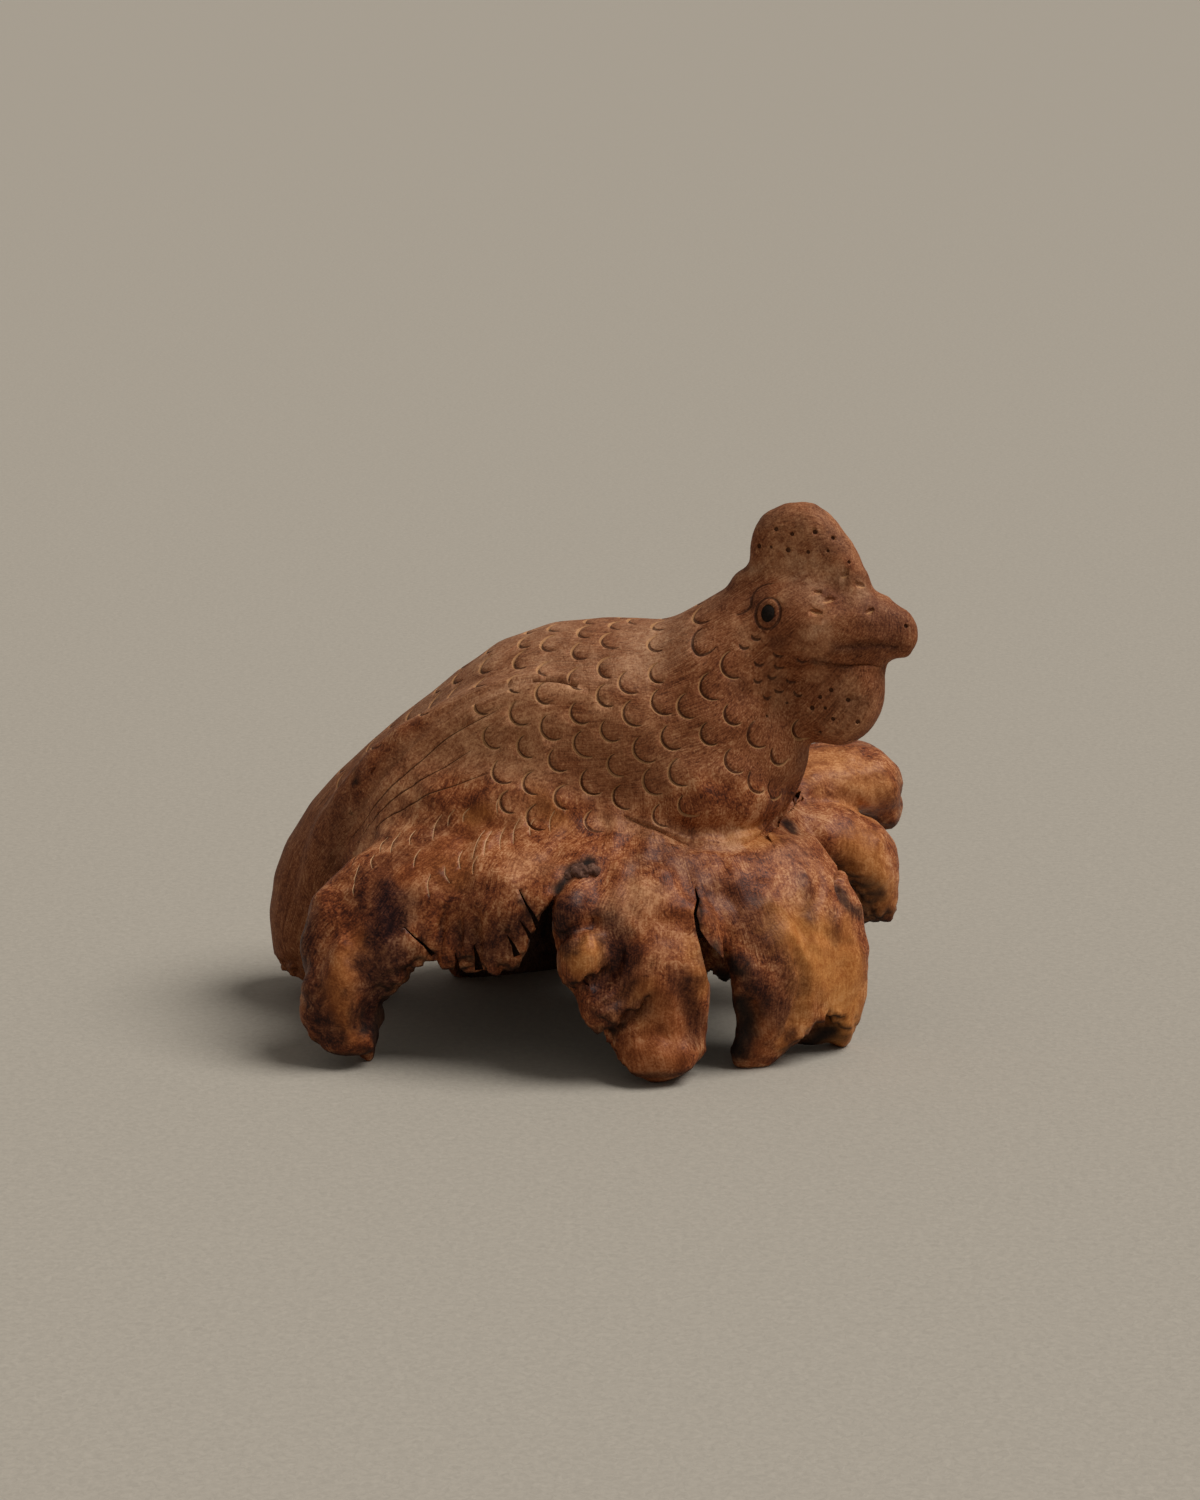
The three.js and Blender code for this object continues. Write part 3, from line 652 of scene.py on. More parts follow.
def addBlade(sheaf, run, outer, inner, depth, marks=gougeMarks):
    # run holds places with normals; the cut slopes over "outer" on its left and "inner" on its right, in mm
    run = steadied(run)
    count = len(run)
    lift = gouge["lift"]
    points = [run[0][0] + run[0][1] * gouge["tipLift"] * mm]
    for index in range(1, count - 1):
        place, normal = run[index]
        taper = math.sin(math.pi * index / (count - 1)) ** gouge["taper"]
        along = (run[index + 1][0] - run[index - 1][0]).normalized()
        left = normal.cross(along).normalized()
        reach = taper * (1 + lift / depth) * mm
        roof = place + normal * lift * taper * mm
        points.append(roof + left * outer * reach)
        points.append(place - normal * depth * taper * mm)
        points.append(roof - left * inner * reach)
    points.append(run[-1][0] + run[-1][1] * gouge["tipLift"] * mm)
    sheaf.add(points, *bladeFaces(count - 2, marks))


def smoothPath(stops, steps):  # a smooth run through given stops
    ends = [2 * stops[0] - stops[1]] + list(stops) + [2 * stops[-1] - stops[-2]]
    run = []
    for index in range(len(stops) - 1):
        a, b, c, d = ends[index:index + 4]
        for step in range(steps):
            t = step / steps
            run.append(0.5 * (2 * b + (c - a) * t + (2 * a - 5 * b + 4 * c - d) * t * t
                              + (3 * b - 3 * c + d - a) * t ** 3))
    return run + [stops[-1]]


def addGroove(sheaf, pixels, outer, inner, depth, steps=4, marks=gougeMarks, bothSides=True):
    run = [nearestOn(place) for place in smoothPath([seenAt(pixel)[0] for pixel in pixels], steps)]
    addBlade(sheaf, run, outer, inner, depth, marks)
    if bothSides:
        addBlade(sheaf, [mirrored(place) for place, _ in reversed(run)], outer, inner, depth, marks)


def addArc(sheaf, place, normal, lean, radius, halfArc, outer, inner, depth, stops=13, marks=gougeMarks):
    # an arc of a gouge's edge, its round side towards lean
    roundWay = (lean - normal * lean.dot(normal)).normalized()
    across = normal.cross(roundWay)
    centre = place - roundWay * radius * gouge["arcBack"] * mm
    run = []
    for stop in range(stops):
        turn = math.radians(halfArc) * (1 - 2 * stop / (stops - 1))
        run.append(nearestOn(centre + (roundWay * math.cos(turn) + across * math.sin(turn)) * radius * mm))
    addBlade(sheaf, run, outer, inner, depth, marks)


def cutFolds(piece):
    for name, (pixels, left, right, depth) in folds.items():
        sheaf = Sheaf(name)
        addGroove(sheaf, pixels, left, right, depth, bothSides=False)
        sheaf.cut(piece)
    remesh(piece, block["lastVoxel"])
    clearFinishes(piece)
    smooth(piece, block["smoothFolds"])


carving = roughBlock()
print("block joined,", len(carving.data.polygons), "faces")
fillCreases(carving)
openSlots(carving)
smoothBlock(carving)
skins.append(Skin(carving))
cutFolds(carving)
print("slots and folds opened,", len(carving.data.polygons), "faces")
growBurl(carving)
applyModifier(carving, "DECIMATE", ratio=block["keep"])
for finish in [bpy.data.materials.new("uncut")] + cutFinishes:
    carving.data.materials.append(finish)
skins.append(Skin(carving))
crevices = creviceDepth(carving)
print("block shaped,", len(carving.data.polygons), "faces")


# Feathers: rows of gouge cuts round the body, each open towards the head
feathers = {
    "line": [(-50, 21), (-44, 30), (-36, 38), (-24, 46), (-16, 50.3), (-8, 53.6), (0, 55.7), (8, 57.2),
             (20, 61), (30, 70)],  # forward, up
    "rowGap": 5.2, "pitch": 6.4,  # mm between rows, and between cuts in a row
    "radius": 2.5, "halfArc": 98,  # mm, degrees
    "slope": 0.34, "wall": 0.4, "depth": 0.5,
    "apart": 4.4,  # mm, the least distance between two cuts
    "lean": Vector((-0.86, 0, -0.5)),  # which way the round side points, in the hen's frame
    "lowest": 43.5, "backAngle": 50,  # mm up, degrees from the ridge of the back
    "headFront": 31.0, "headAbove": 68,  # mm forward and up, where the head is bare
    "wingFront": -13.0, "wingLean": 0.5, "wingHeight": 50,  # mm forward at this height, leaning back above it
    "fadeFrom": -16, "fadeOver": 45, "faintest": 0.45,  # cuts get fainter towards the tail
    "widest": 165,  # degrees that a row runs down each side
    "clear": [((704, 642), 5.0), ((768, 690), 5.2)],  # curl and cheek: photo pixel, mm kept free round it
    "swing": 14, "aside": 0.4, "size": (0.86, 1.08), "deep": (0.8, 1.15),  # how cuts differ from each other
    "seed": 11,
}


def featherStrength(place, angle):  # 0 leaves the spot bare; place in the hen's frame, mm
    wingEdge = feathers["wingFront"] - feathers["wingLean"] * (place.z - feathers["wingHeight"])
    onHeadFront = place.x > feathers["headFront"] and place.z > feathers["headAbove"]
    onWing = angle >= feathers["backAngle"] and place.x < wingEdge
    if place.z < feathers["lowest"] or onHeadFront or onWing:
        return 0.0
    return min(1.0, max(feathers["faintest"], 1 + (place.x - feathers["fadeFrom"]) / feathers["fadeOver"]))


def rowsAlong(line, gap):
    rows = []
    travelled = gap / 2
    for (x0, z0), (x1, z1) in zip(line, line[1:]):
        start, along = Vector((x0, 0, z0)), Vector((x1 - x0, 0, z1 - z0))
        while travelled < along.length:
            rows.append((start + along.normalized() * travelled, along.normalized()))
            travelled += gap
        travelled -= along.length
    return rows


def featherSpots():
    spots = []
    keptFree = []
    for pixel, reach in feathers["clear"]:
        middle = seenAt(pixel)[0]
        keptFree += [(middle, reach), (mirrored(middle)[0], reach)]
    for row, (middle, along) in enumerate(rowsAlong(feathers["line"], feathers["rowGap"])):
        upwards = Vector((-along.z, 0, along.x))
        for side in (-1, 1):
            owed = feathers["pitch"] / 2 if row % 2 else (0.0 if side < 0 else feathers["pitch"])
            last = None
            for angle in range(feathers["widest"]):
                turn = math.radians(angle)
                aim = upwards * math.cos(turn) + Vector((0, side * math.sin(turn), 0))
                place, normal, _, _ = skins[-1].tree.ray_cast(fromHen(*middle), henTurn.to_3x3() @ aim)
                if place is None:
                    break
                owed -= 0 if last is None else (place - last).length / mm
                last = place
                if owed <= 0:
                    owed += feathers["pitch"]
                    strength = featherStrength((henFrameBack @ place) / mm, angle)
                    crowded = any((place - other).length < feathers["apart"] * mm for other, _, _ in spots)
                    crowded = crowded or any((place - other).length < reach * mm for other, reach in keptFree)
                    if strength > 0 and not crowded:
                        spots.append((place, normal, strength))
    return spots


def cutFeathers(piece):
    draw = random.Random(feathers["seed"])
    sheaf = Sheaf("featherCuts")
    for place, normal, strength in featherSpots():
        swing = math.radians(draw.uniform(-feathers["swing"], feathers["swing"]))
        lean = Matrix.Rotation(swing, 3, normal) @ (henTurn.to_3x3() @ feathers["lean"])
        radius = feathers["radius"] * draw.uniform(*feathers["size"])
        aside = normal.cross(lean) * draw.uniform(-feathers["aside"], feathers["aside"]) * mm
        depth = feathers["depth"] * strength * draw.uniform(*feathers["deep"])
        addArc(sheaf, place + aside, normal, lean, radius, feathers["halfArc"],
               feathers["slope"] * strength, feathers["wall"], depth)
    sheaf.cut(piece)


# Wing: a soft upper ledge and three long quills, as photo pixels on the side that shows
wing = {
    "ledge": [(590, 693), (574, 686), (558, 682), (540, 681), (516, 685), (490, 696), (458, 711), (420, 738),
              (385, 775), (352, 825), (326, 880)],
    "line": [(580, 688), (564, 683), (548, 681), (530, 682), (514, 686)],  # where the ledge is undercut
    "quills": [
        [(503, 708), (448, 738), (408, 772), (376, 804), (346, 846)],
        [(477, 747), (428, 776), (386, 806), (352, 852)],
        [(493, 772), (448, 788), (414, 803), (376, 830), (350, 870)],
    ],
    # slope on the left and right and depth, mm
    "ledgeCut": (0.3, 3.0, 0.8), "lineCut": (0.24, 0.24, 1.0), "quillCut": (0.15, 0.17, 0.24),
}


def cutWings(piece):
    sheaf = Sheaf("wingCuts")
    # the ledge's steep side gets painted shade
    addGroove(sheaf, wing["ledge"], *wing["ledgeCut"], 5, (shadedWallMark, plainMark, plainMark))
    for quill in wing["quills"]:
        addGroove(sheaf, quill, *wing["quillCut"], 6)
    sheaf.cut(piece)
    line = Sheaf("ledgeLine")
    # the line under the ledge gets painted shade
    addGroove(line, wing["line"], *wing["lineCut"], 5, (shadedWallMark,) * 3)
    line.cut(piece)


# Barbs: pale scratches on the flank under the wing, from top to bottom, as photo pixels
barbs = {
    "width": 0.11, "depth": 0.2, "bow": 3.0,  # mm, mm, pixels that the middle bows to the left
    "longer": 0.2,  # share of its length that each end runs on
    "strokes": [
        ((400, 834), (392, 852)), ((416, 831), (411, 844)), ((442, 816), (434, 837)),
        ((455, 811), (449, 825)), ((470, 809), (464, 821)), ((485, 831), (474, 857)),
        ((492, 832), (485, 854)), ((506, 828), (501, 848)), ((520, 820), (514, 842)),
        ((535, 820), (531, 834)), ((555, 812), (551, 830)), ((375, 856), (373, 868)),
        ((360, 867), (355, 894)), ((446, 868), (450, 882)), ((431, 876), (430, 895)),
        ((463, 852), (461, 868)), ((502, 796), (498, 812)), ((421, 851), (415, 866)),
        ((478, 858), (474, 873)), ((388, 838), (381, 851)),
    ],
}


def cutBarbs(piece):
    sheaf = Sheaf("barbs")
    for top, foot in barbs["strokes"]:
        top, foot = Vector(top), Vector(foot)
        further = (foot - top) * barbs["longer"]
        middle = (top + foot) / 2 - Vector((barbs["bow"], 1))
        path = [top - further, middle, foot + further]
        addGroove(sheaf, path, barbs["width"], barbs["width"], barbs["depth"],
                  marks=(paleMark,) * 3, bothSides=False)
    sheaf.cut(piece)


# Undercut: the breast stands proud of the burl, as photo pixels along its lower edge
undercut = {
    "edge": [(788, 803), (778, 816), (762, 832), (742, 841), (707, 843), (680, 838), (650, 826), (620, 814)],
    "breastWall": 0.5, "burlSlope": 2.6, "depth": 1.2,  # mm
}


def cutUndercut(piece):
    sheaf = Sheaf("undercut")
    addGroove(sheaf, undercut["edge"], undercut["burlSlope"], undercut["breastWall"], undercut["depth"], 5,
              (plainMark,) * 3)
    sheaf.cut(piece)


# Face: brow, curl behind the cheek, mouth, lower beak and the beak's root, as photo pixels
face = {
    "lines": {  # slopes and depth in mm, and the mark that the cut leaves: painted shade for the brow and curl
        "brow": ([(776, 583), (760, 587), (752, 597), (751, 605), (745, 612), (734, 616)],
                 0.3, 0.3, 0.4, shadedWallMark),
        "curl": ([(704, 627), (695, 634), (692, 645), (698, 655), (709, 653), (718, 645)],
                 0.35, 0.25, 0.45, shadedWallMark),
        "mouth": ([(836, 649), (856, 646), (876, 645), (898, 648)], 1.1, 0.6, 0.7, plainMark),
        "lowerBeak": ([(812, 660), (822, 664), (845, 666), (868, 665), (884, 667)], 0.4, 0.3, 0.5, plainMark),
        "beakRoot": ([(820, 626), (832, 613), (850, 602), (866, 595)], 1.2, 0.7, 0.4, plainMark),
    },
    "dotRadius": 0.42, "dotSpread": (0.75, 1.25), "dotSeed": 5,  # mm, least and greatest share of it
    "dots": [(792, 534), (815, 532), (776, 529), (771, 547), (788, 550), (759, 546), (808, 552), (833, 538),
             (828, 551), (849, 562), (906, 626), (831, 690), (820, 697), (787, 703), (767, 716), (812, 708),
             (825, 708), (833, 719), (820, 732), (848, 700), (858, 722)],
    "scarDepth": 0.45,
    "scars": [((829, 600), 1.4, 0.6, 15), ((860, 585), 1.2, 0.6, -20), ((870, 611), 1.0, 0.5, 30),
              ((816, 612), 1.3, 0.5, -15), ((845, 575), 0.9, 0.5, 40),
              ((818, 592), 0.8, 0.5, 0)],  # half length and width in mm, slant in degrees
    "dotDeep": -0.45, "scarLow": -0.5,  # how far a face points into the wood to get painted shade, or down to get painted highlight
    "dashRadius": 1.0, "dashArc": 80, "dashCut": (0.3, 0.3, 0.35),  # mm, degrees, slopes and depth in mm
    "dashLean": Vector((-0.3, 0, -1)),  # which way the round side points, in the hen's frame
    "dashes": [(744, 646), (756, 637), (778, 654), (759, 663), (779, 666), (802, 660), (758, 680), (772, 676),
               (791, 680), (767, 696), (779, 690), (798, 693)],
    "ringRadius": 2.75, "ringWidth": 0.4, "pupilRadius": 1.5, "socketLength": 10.4,  # mm
    "oval": (0.88, 1.08),  # the eyes are narrower than they are high
}


def twins(pixel):  # the spot that a pixel shows and the same spot on the other side, with their normals
    place, normal = seenAt(pixel)
    return (place, normal), mirrored(place)


def cutFace(piece):
    lines = Sheaf("faceLines")
    for pixels, outer, inner, depth, mark in face["lines"].values():
        addGroove(lines, pixels, outer, inner, depth, marks=(mark,) * 3)
    lines.cut(piece)
    dashes = Sheaf("cheekDashes")
    lean = henTurn.to_3x3() @ face["dashLean"]
    for pixel in face["dashes"]:
        for spot, up in twins(pixel):
            # each dash's cut gets painted shade
            addArc(dashes, spot, up, lean, face["dashRadius"], face["dashArc"], *face["dashCut"],
                   stops=7, marks=(shadedWallMark,) * 3)
    dashes.cut(piece)


def cutDots(piece):
    bpy.ops.mesh.primitive_ico_sphere_add(subdivisions=2, radius=mm)
    ball = bpy.context.active_object
    ballPoints = [point.co.copy() for point in ball.data.vertices]
    ballFaces = [tuple(side.vertices) for side in ball.data.polygons]
    ballWays = [side.normal.copy() for side in ball.data.polygons]
    bpy.data.objects.remove(ball)
    draw = random.Random(face["dotSeed"])
    dots = Sheaf("dots")
    for pixel in face["dots"]:
        for spot, up in twins(pixel):
            size = face["dotRadius"] * draw.uniform(*face["dotSpread"])
            # a dot's deep faces get painted shade
            deep = [shadedWallMark if way.dot(up) < face["dotDeep"] else plainMark for way in ballWays]
            dots.add([spot + point * size for point in ballPoints], ballFaces, deep)
    for pixel, long, wide, slant in face["scars"]:
        for spot, up in twins(pixel):
            turn = up.to_track_quat("Z", "Y").to_matrix() @ Matrix.Rotation(math.radians(slant), 3, "Z")
            shape = turn @ Matrix.Diagonal((long, wide, face["scarDepth"]))
            # a scar's lower faces get painted highlight
            lower = [litSlopeMark if (turn @ way).z < face["scarLow"] else plainMark for way in ballWays]
            dots.add([spot + shape @ point for point in ballPoints], ballFaces, lower)
    dots.cut(piece)


# Eyes: an engraved ring and a socket for each pupil
def eyeTurn(node):  # an oval frame on the head's surface at an eye, with Z pointing out
    spot, normal = nearestOn(middleOf(node))
    upright = Matrix.Translation(spot) @ normal.to_track_quat("Z", "Y").to_matrix().to_4x4()
    return upright @ Matrix.Diagonal((*face["oval"], 1, 1))


def cutEyes(piece):
    for node in ("left_eye_peg", "right_eye_peg"):
        bpy.ops.mesh.primitive_torus_add(
            major_segments=40, minor_segments=8,
            major_radius=face["ringRadius"] * mm, minor_radius=face["ringWidth"] * mm)
        ring = bpy.context.active_object
        bpy.ops.mesh.primitive_cylinder_add(
            vertices=32, radius=face["pupilRadius"] * mm, depth=face["socketLength"] * mm)
        socket = bpy.context.active_object
        for tool in (ring, socket):
            tool.data.transform(eyeTurn(node))
            # the ring's and socket's cut faces get painted shade, partly the ring's own dark line
            tool.data.materials.append(cutFinishes[shadedWallMark])
            cutAway(piece, tool)


def cutCracks(piece):
    for name, (path, depths) in cracks.items():
        blade = slotBlade(name, path, depths)
        # the crack's walls get painted shade
        blade.data.materials.append(cutFinishes[shadedWallMark])
        cutAway(piece, blade)


cutCracks(carving)
cutFeathers(carving)
cutWings(carving)
cutUndercut(carving)
cutBarbs(carving)
cutFace(carving)
cutDots(carving)
cutEyes(carving)
print("carved,", len(carving.data.polygons), "faces")


# Pupils: turned plugs with a domed end, pressed into the sockets
pupil = {
    "radius": 1.46, "length": 4.4, "sunk": 0.12,  # mm
    "steps": [(0.34, 0.22), (0.4, 0.16), (0.42, 0.08)],  # mm in and mm up, from the edge to the dome's top
    "smoothAngle": 40,  # degrees
    "colours": [(0.35, (0.006, 0.005, 0.004)), (0.7, (0.022, 0.014, 0.010))],
    "grain": 0.5, "bump": 0.05, "roughness": 0.6, "shine": 0.06,  # grain and bump in mm
}


def addPupil(node, name):
    bpy.ops.mesh.primitive_cylinder_add(vertices=40, radius=pupil["radius"] * mm, depth=pupil["length"] * mm)
    piece = bpy.context.active_object
    piece.name = name
    for side in piece.data.polygons:
        side.select = side.normal.z > 0.9
    bpy.ops.object.mode_set(mode="EDIT")
    bpy.ops.mesh.select_mode(type="FACE")
    for inwards, upwards in pupil["steps"]:
        bpy.ops.mesh.inset(thickness=inwards * mm)
        bpy.ops.transform.translate(value=(0, 0, upwards * mm))
    bpy.ops.object.mode_set(mode="OBJECT")
    piece.data.transform(Matrix.Translation((0, 0, -(pupil["length"] / 2 + pupil["sunk"]) * mm)))
    piece.data.transform(eyeTurn(node))
    bpy.ops.object.shade_smooth_by_angle(angle=math.radians(pupil["smoothAngle"]))
    piece.data.materials.append(pupilFinish)
    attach(piece, "root")
    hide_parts(node)


# Bark: a crumb of three lumps, still caught where the slot runs out
bark = {
    "lumps": [((-1.7, 0.0, -0.8), (1.8, 1.7, 2.0)), ((0.2, -0.1, 0.5), (2.0, 1.7, 1.3)),
              ((2.1, 0.1, 0.6), (1.5, 1.5, 1.2))],  # from its middle, mm
    "voxel": 0.16, "crumb": (1.1, 0.5), "grit": (0.45, 0.2),  # mm: size and height of its roughness
    "colours": [(0.3, (0.045, 0.018, 0.011)), (0.55, (0.115, 0.050, 0.030)), (0.75, (0.21, 0.11, 0.07))],
    "grain": 0.9, "bump": 0.2, "roughness": 0.9, "shine": 0.3,
}


def addBark():
    middle = middleOf("bark_scrap")
    parts = [lump(middle + Vector(place) * mm, size, name="barkScrap") for place, size in bark["lumps"]]
    piece = parts[0]
    joinInto(piece, parts[1:])
    remesh(piece, bark["voxel"])
    place = inMillimetres(pointsOf(piece), middle)
    rise = np.zeros(len(place))
    for seed, (size, height) in ((21, bark["crumb"]), (22, bark["grit"])):
        rise += height * noiseAt(place, size, seed)
    swell(piece, rise)
    pickOnly(piece)
    bpy.ops.object.shade_smooth()
    piece.data.materials.append(barkFinish)
    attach(piece, "root")
    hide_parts("bark_scrap")


# Finishes: small helpers for building them from nodes
def addNode(tree, kind, inputs, **settings):
    made = tree.nodes.new(kind)
    for key, value in settings.items():
        setattr(made, key, value)
    for key, value in inputs.items():
        if isinstance(value, bpy.types.NodeSocket):
            tree.links.new(value, made.inputs[key])
        else:
            made.inputs[key].default_value = value
    return made


def attribute(tree, name):
    return addNode(tree, "ShaderNodeAttribute", {}, attribute_name=name)


def mixed(tree, share, first, second):
    first = first if isinstance(first, bpy.types.NodeSocket) else (*first, 1)
    second = second if isinstance(second, bpy.types.NodeSocket) else (*second, 1)
    return addNode(tree, "ShaderNodeMix", {0: share, 6: first, 7: second}, data_type="RGBA").outputs[2]


def reckon(tree, operation, first, second):
    return addNode(tree, "ShaderNodeMath", {0: first, 1: second}, operation=operation).outputs[0]


def timesPlus(tree, value, factor, plus):
    return reckon(tree, "ADD", reckon(tree, "MULTIPLY", value, factor), plus)


def stretched(tree, vector, sizes):  # a vector in mm, told off in steps of these sizes
    scale = [1 / size for size in sizes]
    return addNode(tree, "ShaderNodeMapping", {"Vector": vector, "Scale": scale}).outputs[0]


def noiseNode(tree, vector, scale, detail, distortion, roughness=0.55):
    inputs = {"Vector": vector, "Scale": scale, "Detail": detail,
              "Roughness": roughness, "Distortion": distortion}
    return addNode(tree, "ShaderNodeTexNoise", inputs).outputs["Fac"]


def ramp(tree, value, stops):
    made = addNode(tree, "ShaderNodeValToRGB", {"Fac": value})
    band = made.color_ramp.elements
    while len(band) < len(stops):
        band.new(0.5)
    for element, (place, colour) in zip(band, stops):
        element.position = place
        element.color = (*colour, 1)
    return made.outputs["Color"]


def bare(name):
    finish = bpy.data.materials.new(name)
    finish.use_nodes = True
    return finish, finish.node_tree, finish.node_tree.nodes["Principled BSDF"]


def objectPlace(tree):
    return addNode(tree, "ShaderNodeTexCoord", {}).outputs["Object"]


# Wood: linear colours, each from the deep to the pale fibres, and sizes of its figure in mm
wood = {
    "hen": [(0.20, (0.080, 0.020, 0.006)), (0.42, (0.185, 0.054, 0.018)), (0.60, (0.268, 0.092, 0.034)),
            (0.85, (0.430, 0.205, 0.096))],
    "burl": [(0.18, (0.055, 0.012, 0.005)), (0.42, (0.200, 0.050, 0.015)), (0.60, (0.335, 0.110, 0.037)),
             (0.84, (0.550, 0.265, 0.124))],
    # purple-brown stain and painted shade
    "dark": [(0.25, (0.012, 0.003, 0.003)), (0.75, (0.062, 0.017, 0.011))],  # stains, painted shade and painted highlight, each on deep and pale fibres
    "russet": [(0.25, (0.140, 0.032, 0.007)), (0.75, (0.300, 0.086, 0.023))],
    # orange wood and painted highlight
    "amberAndHighlight": [(0.25, (0.340, 0.105, 0.022)), (0.75, (0.590, 0.245, 0.065))],
    # pale patches and painted highlight
    "paleAndHighlight": [(0.25, (0.300, 0.109, 0.043)), (0.75, (0.620, 0.312, 0.152))],
    # dust and painted highlight
    "dustAndHighlight": [(0.25, (0.300, 0.135, 0.062)), (0.75, (0.560, 0.322, 0.182))],
    # near-black painted shade
    "blackShade": [(0.25, (0.008, 0.005, 0.004)), (0.75, (0.022, 0.012, 0.008))],
    # slope: painted highlight; wall: near-black painted shade, partly the dark of the incised lines; scratch:
    # pale scratches
    "slope": (0.600, 0.310, 0.130), "wall": (0.026, 0.009, 0.005), "scratch": (0.600, 0.360, 0.180),
    "marks": [("slope", 0.5), ("wall", 0.64), ("scratch", 0.8)],  # how strongly each kind of cut shows: the painted highlight, the painted shade and the pale scratch
    "henFibre": (0.22, 9.0, 0.5), "burlFibre": (0.24, 11.0, 0.5),  # mm across, along and out
    "fibreNoise": (1.0, 2.5, 0.2, 0.5),  # scale, detail, distortion, roughness
    "curl": (2.0, 6.0, 3.0, 0.62), "mottle": (7.5, 3.0, 1.2), "speck": (0.34, 2.0, 0.0),  # size in mm first
    "grit": (0.8, 4.0, 1.0, 0.65),
    "flow": [(11.0, 2.4), (5.0, 0.4)], "henFlow": 0.5,  # how fibres wander: size, reach; share on the hen
    "henMix": (0.34, 0.26, 0.18, 0.22), "burlMix": (0.18, 0.30, 0.34, 0.18),  # fibre, curl, mottle, speck
    "henContrast": 3.1, "burlContrast": 3.4,
    "broken": (-0.6, 1.25), "gritty": (2.8, -0.6),  # stains and the painted shade and highlight in them take less on pale fibres; pale patches, dust and painted highlight show on the grit
    "henRoughness": 0.66, "burlRoughness": 0.46, "blackShadeRoughness": 0.3, "shine": 0.13,  # the near-black painted shade adds to it
    "bump": (0.4, 0.12), "smoothAngle": 38,  # strength and mm, degrees
}


def woodFinish():
    finish, tree, surface = bare("burlWood")
    place = objectPlace(tree)
    curl, mottle, speck, grit = [noiseNode(tree, place, 1 / mm / wood[name][0], *wood[name][1:])
                                 for name in ("curl", "mottle", "speck", "grit")]
    fibres, figure = {}, {}
    for name in ("hen", "burl"):
        vector = stretched(tree, attribute(tree, name + "Fibre").outputs["Vector"], wood[name + "Fibre"])
        fibres[name] = noiseNode(tree, vector, *wood["fibreNoise"])
        contrast = wood[name + "Contrast"]
        total = 0.5 - 0.5 * contrast
        for part, share in zip((fibres[name], curl, mottle, speck), wood[name + "Mix"]):
            total = timesPlus(tree, part, share * contrast, total)
        figure[name] = total
    burl = attribute(tree, "burl").outputs["Fac"]
    colour = mixed(tree, burl, *[ramp(tree, figure[name], wood[name]) for name in ("hen", "burl")])
    broken = timesPlus(tree, figure["burl"], *wood["broken"])
    gritty = timesPlus(tree, grit, *wood["gritty"])
    # stains laid over the wood, with the painted shade and painted highlight among them
    for name in ("paleAndHighlight", "amberAndHighlight", "russet", "dark", "dustAndHighlight", "blackShade"):
        share = attribute(tree, name).outputs["Fac"]
        if name != "blackShade":
            share = reckon(tree, "MULTIPLY", share, gritty if name in ("paleAndHighlight", "dustAndHighlight") else broken)
        colour = mixed(tree, share, colour, ramp(tree, figure["burl"], wood[name]))
    # cut marks: painted highlight on slopes, painted shade on walls, pale on scratches
    for name, strength in wood["marks"]:
        share = reckon(tree, "MULTIPLY", attribute(tree, name).outputs["Fac"], strength)
        colour = mixed(tree, share, colour, wood[name])
    tree.links.new(colour, surface.inputs["Base Color"])
    rough = timesPlus(tree, burl, wood["burlRoughness"] - wood["henRoughness"], wood["henRoughness"])
    rough = timesPlus(tree, attribute(tree, "blackShade").outputs["Fac"], wood["blackShadeRoughness"], rough)
    tree.links.new(rough, surface.inputs["Roughness"])
    surface.inputs["Specular IOR Level"].default_value = wood["shine"]
    fine = reckon(tree, "ADD", fibres["burl"], speck)
    strength, height = wood["bump"]
    bump = addNode(tree, "ShaderNodeBump", {"Height": fine, "Strength": strength, "Distance": height * mm})
    tree.links.new(bump.outputs[0], surface.inputs["Normal"])
    return finish


def dullFinish(name, look):  # speckled, for the pegs, the bark and the floor
    finish, tree, surface = bare(name)
    grain = noiseNode(tree, objectPlace(tree), 1 / mm / look["grain"], 5.0, 0.8)
    tree.links.new(ramp(tree, grain, look["colours"]), surface.inputs["Base Color"])
    surface.inputs["Roughness"].default_value = look["roughness"]
    surface.inputs["Specular IOR Level"].default_value = look["shine"]
    bump = addNode(tree, "ShaderNodeBump", {"Height": grain, "Strength": 0.6, "Distance": look["bump"] * mm})
    tree.links.new(bump.outputs[0], surface.inputs["Normal"])
    return finish


pupilFinish = dullFinish("blackenedPeg", pupil)
barkFinish = dullFinish("dryBark", bark)
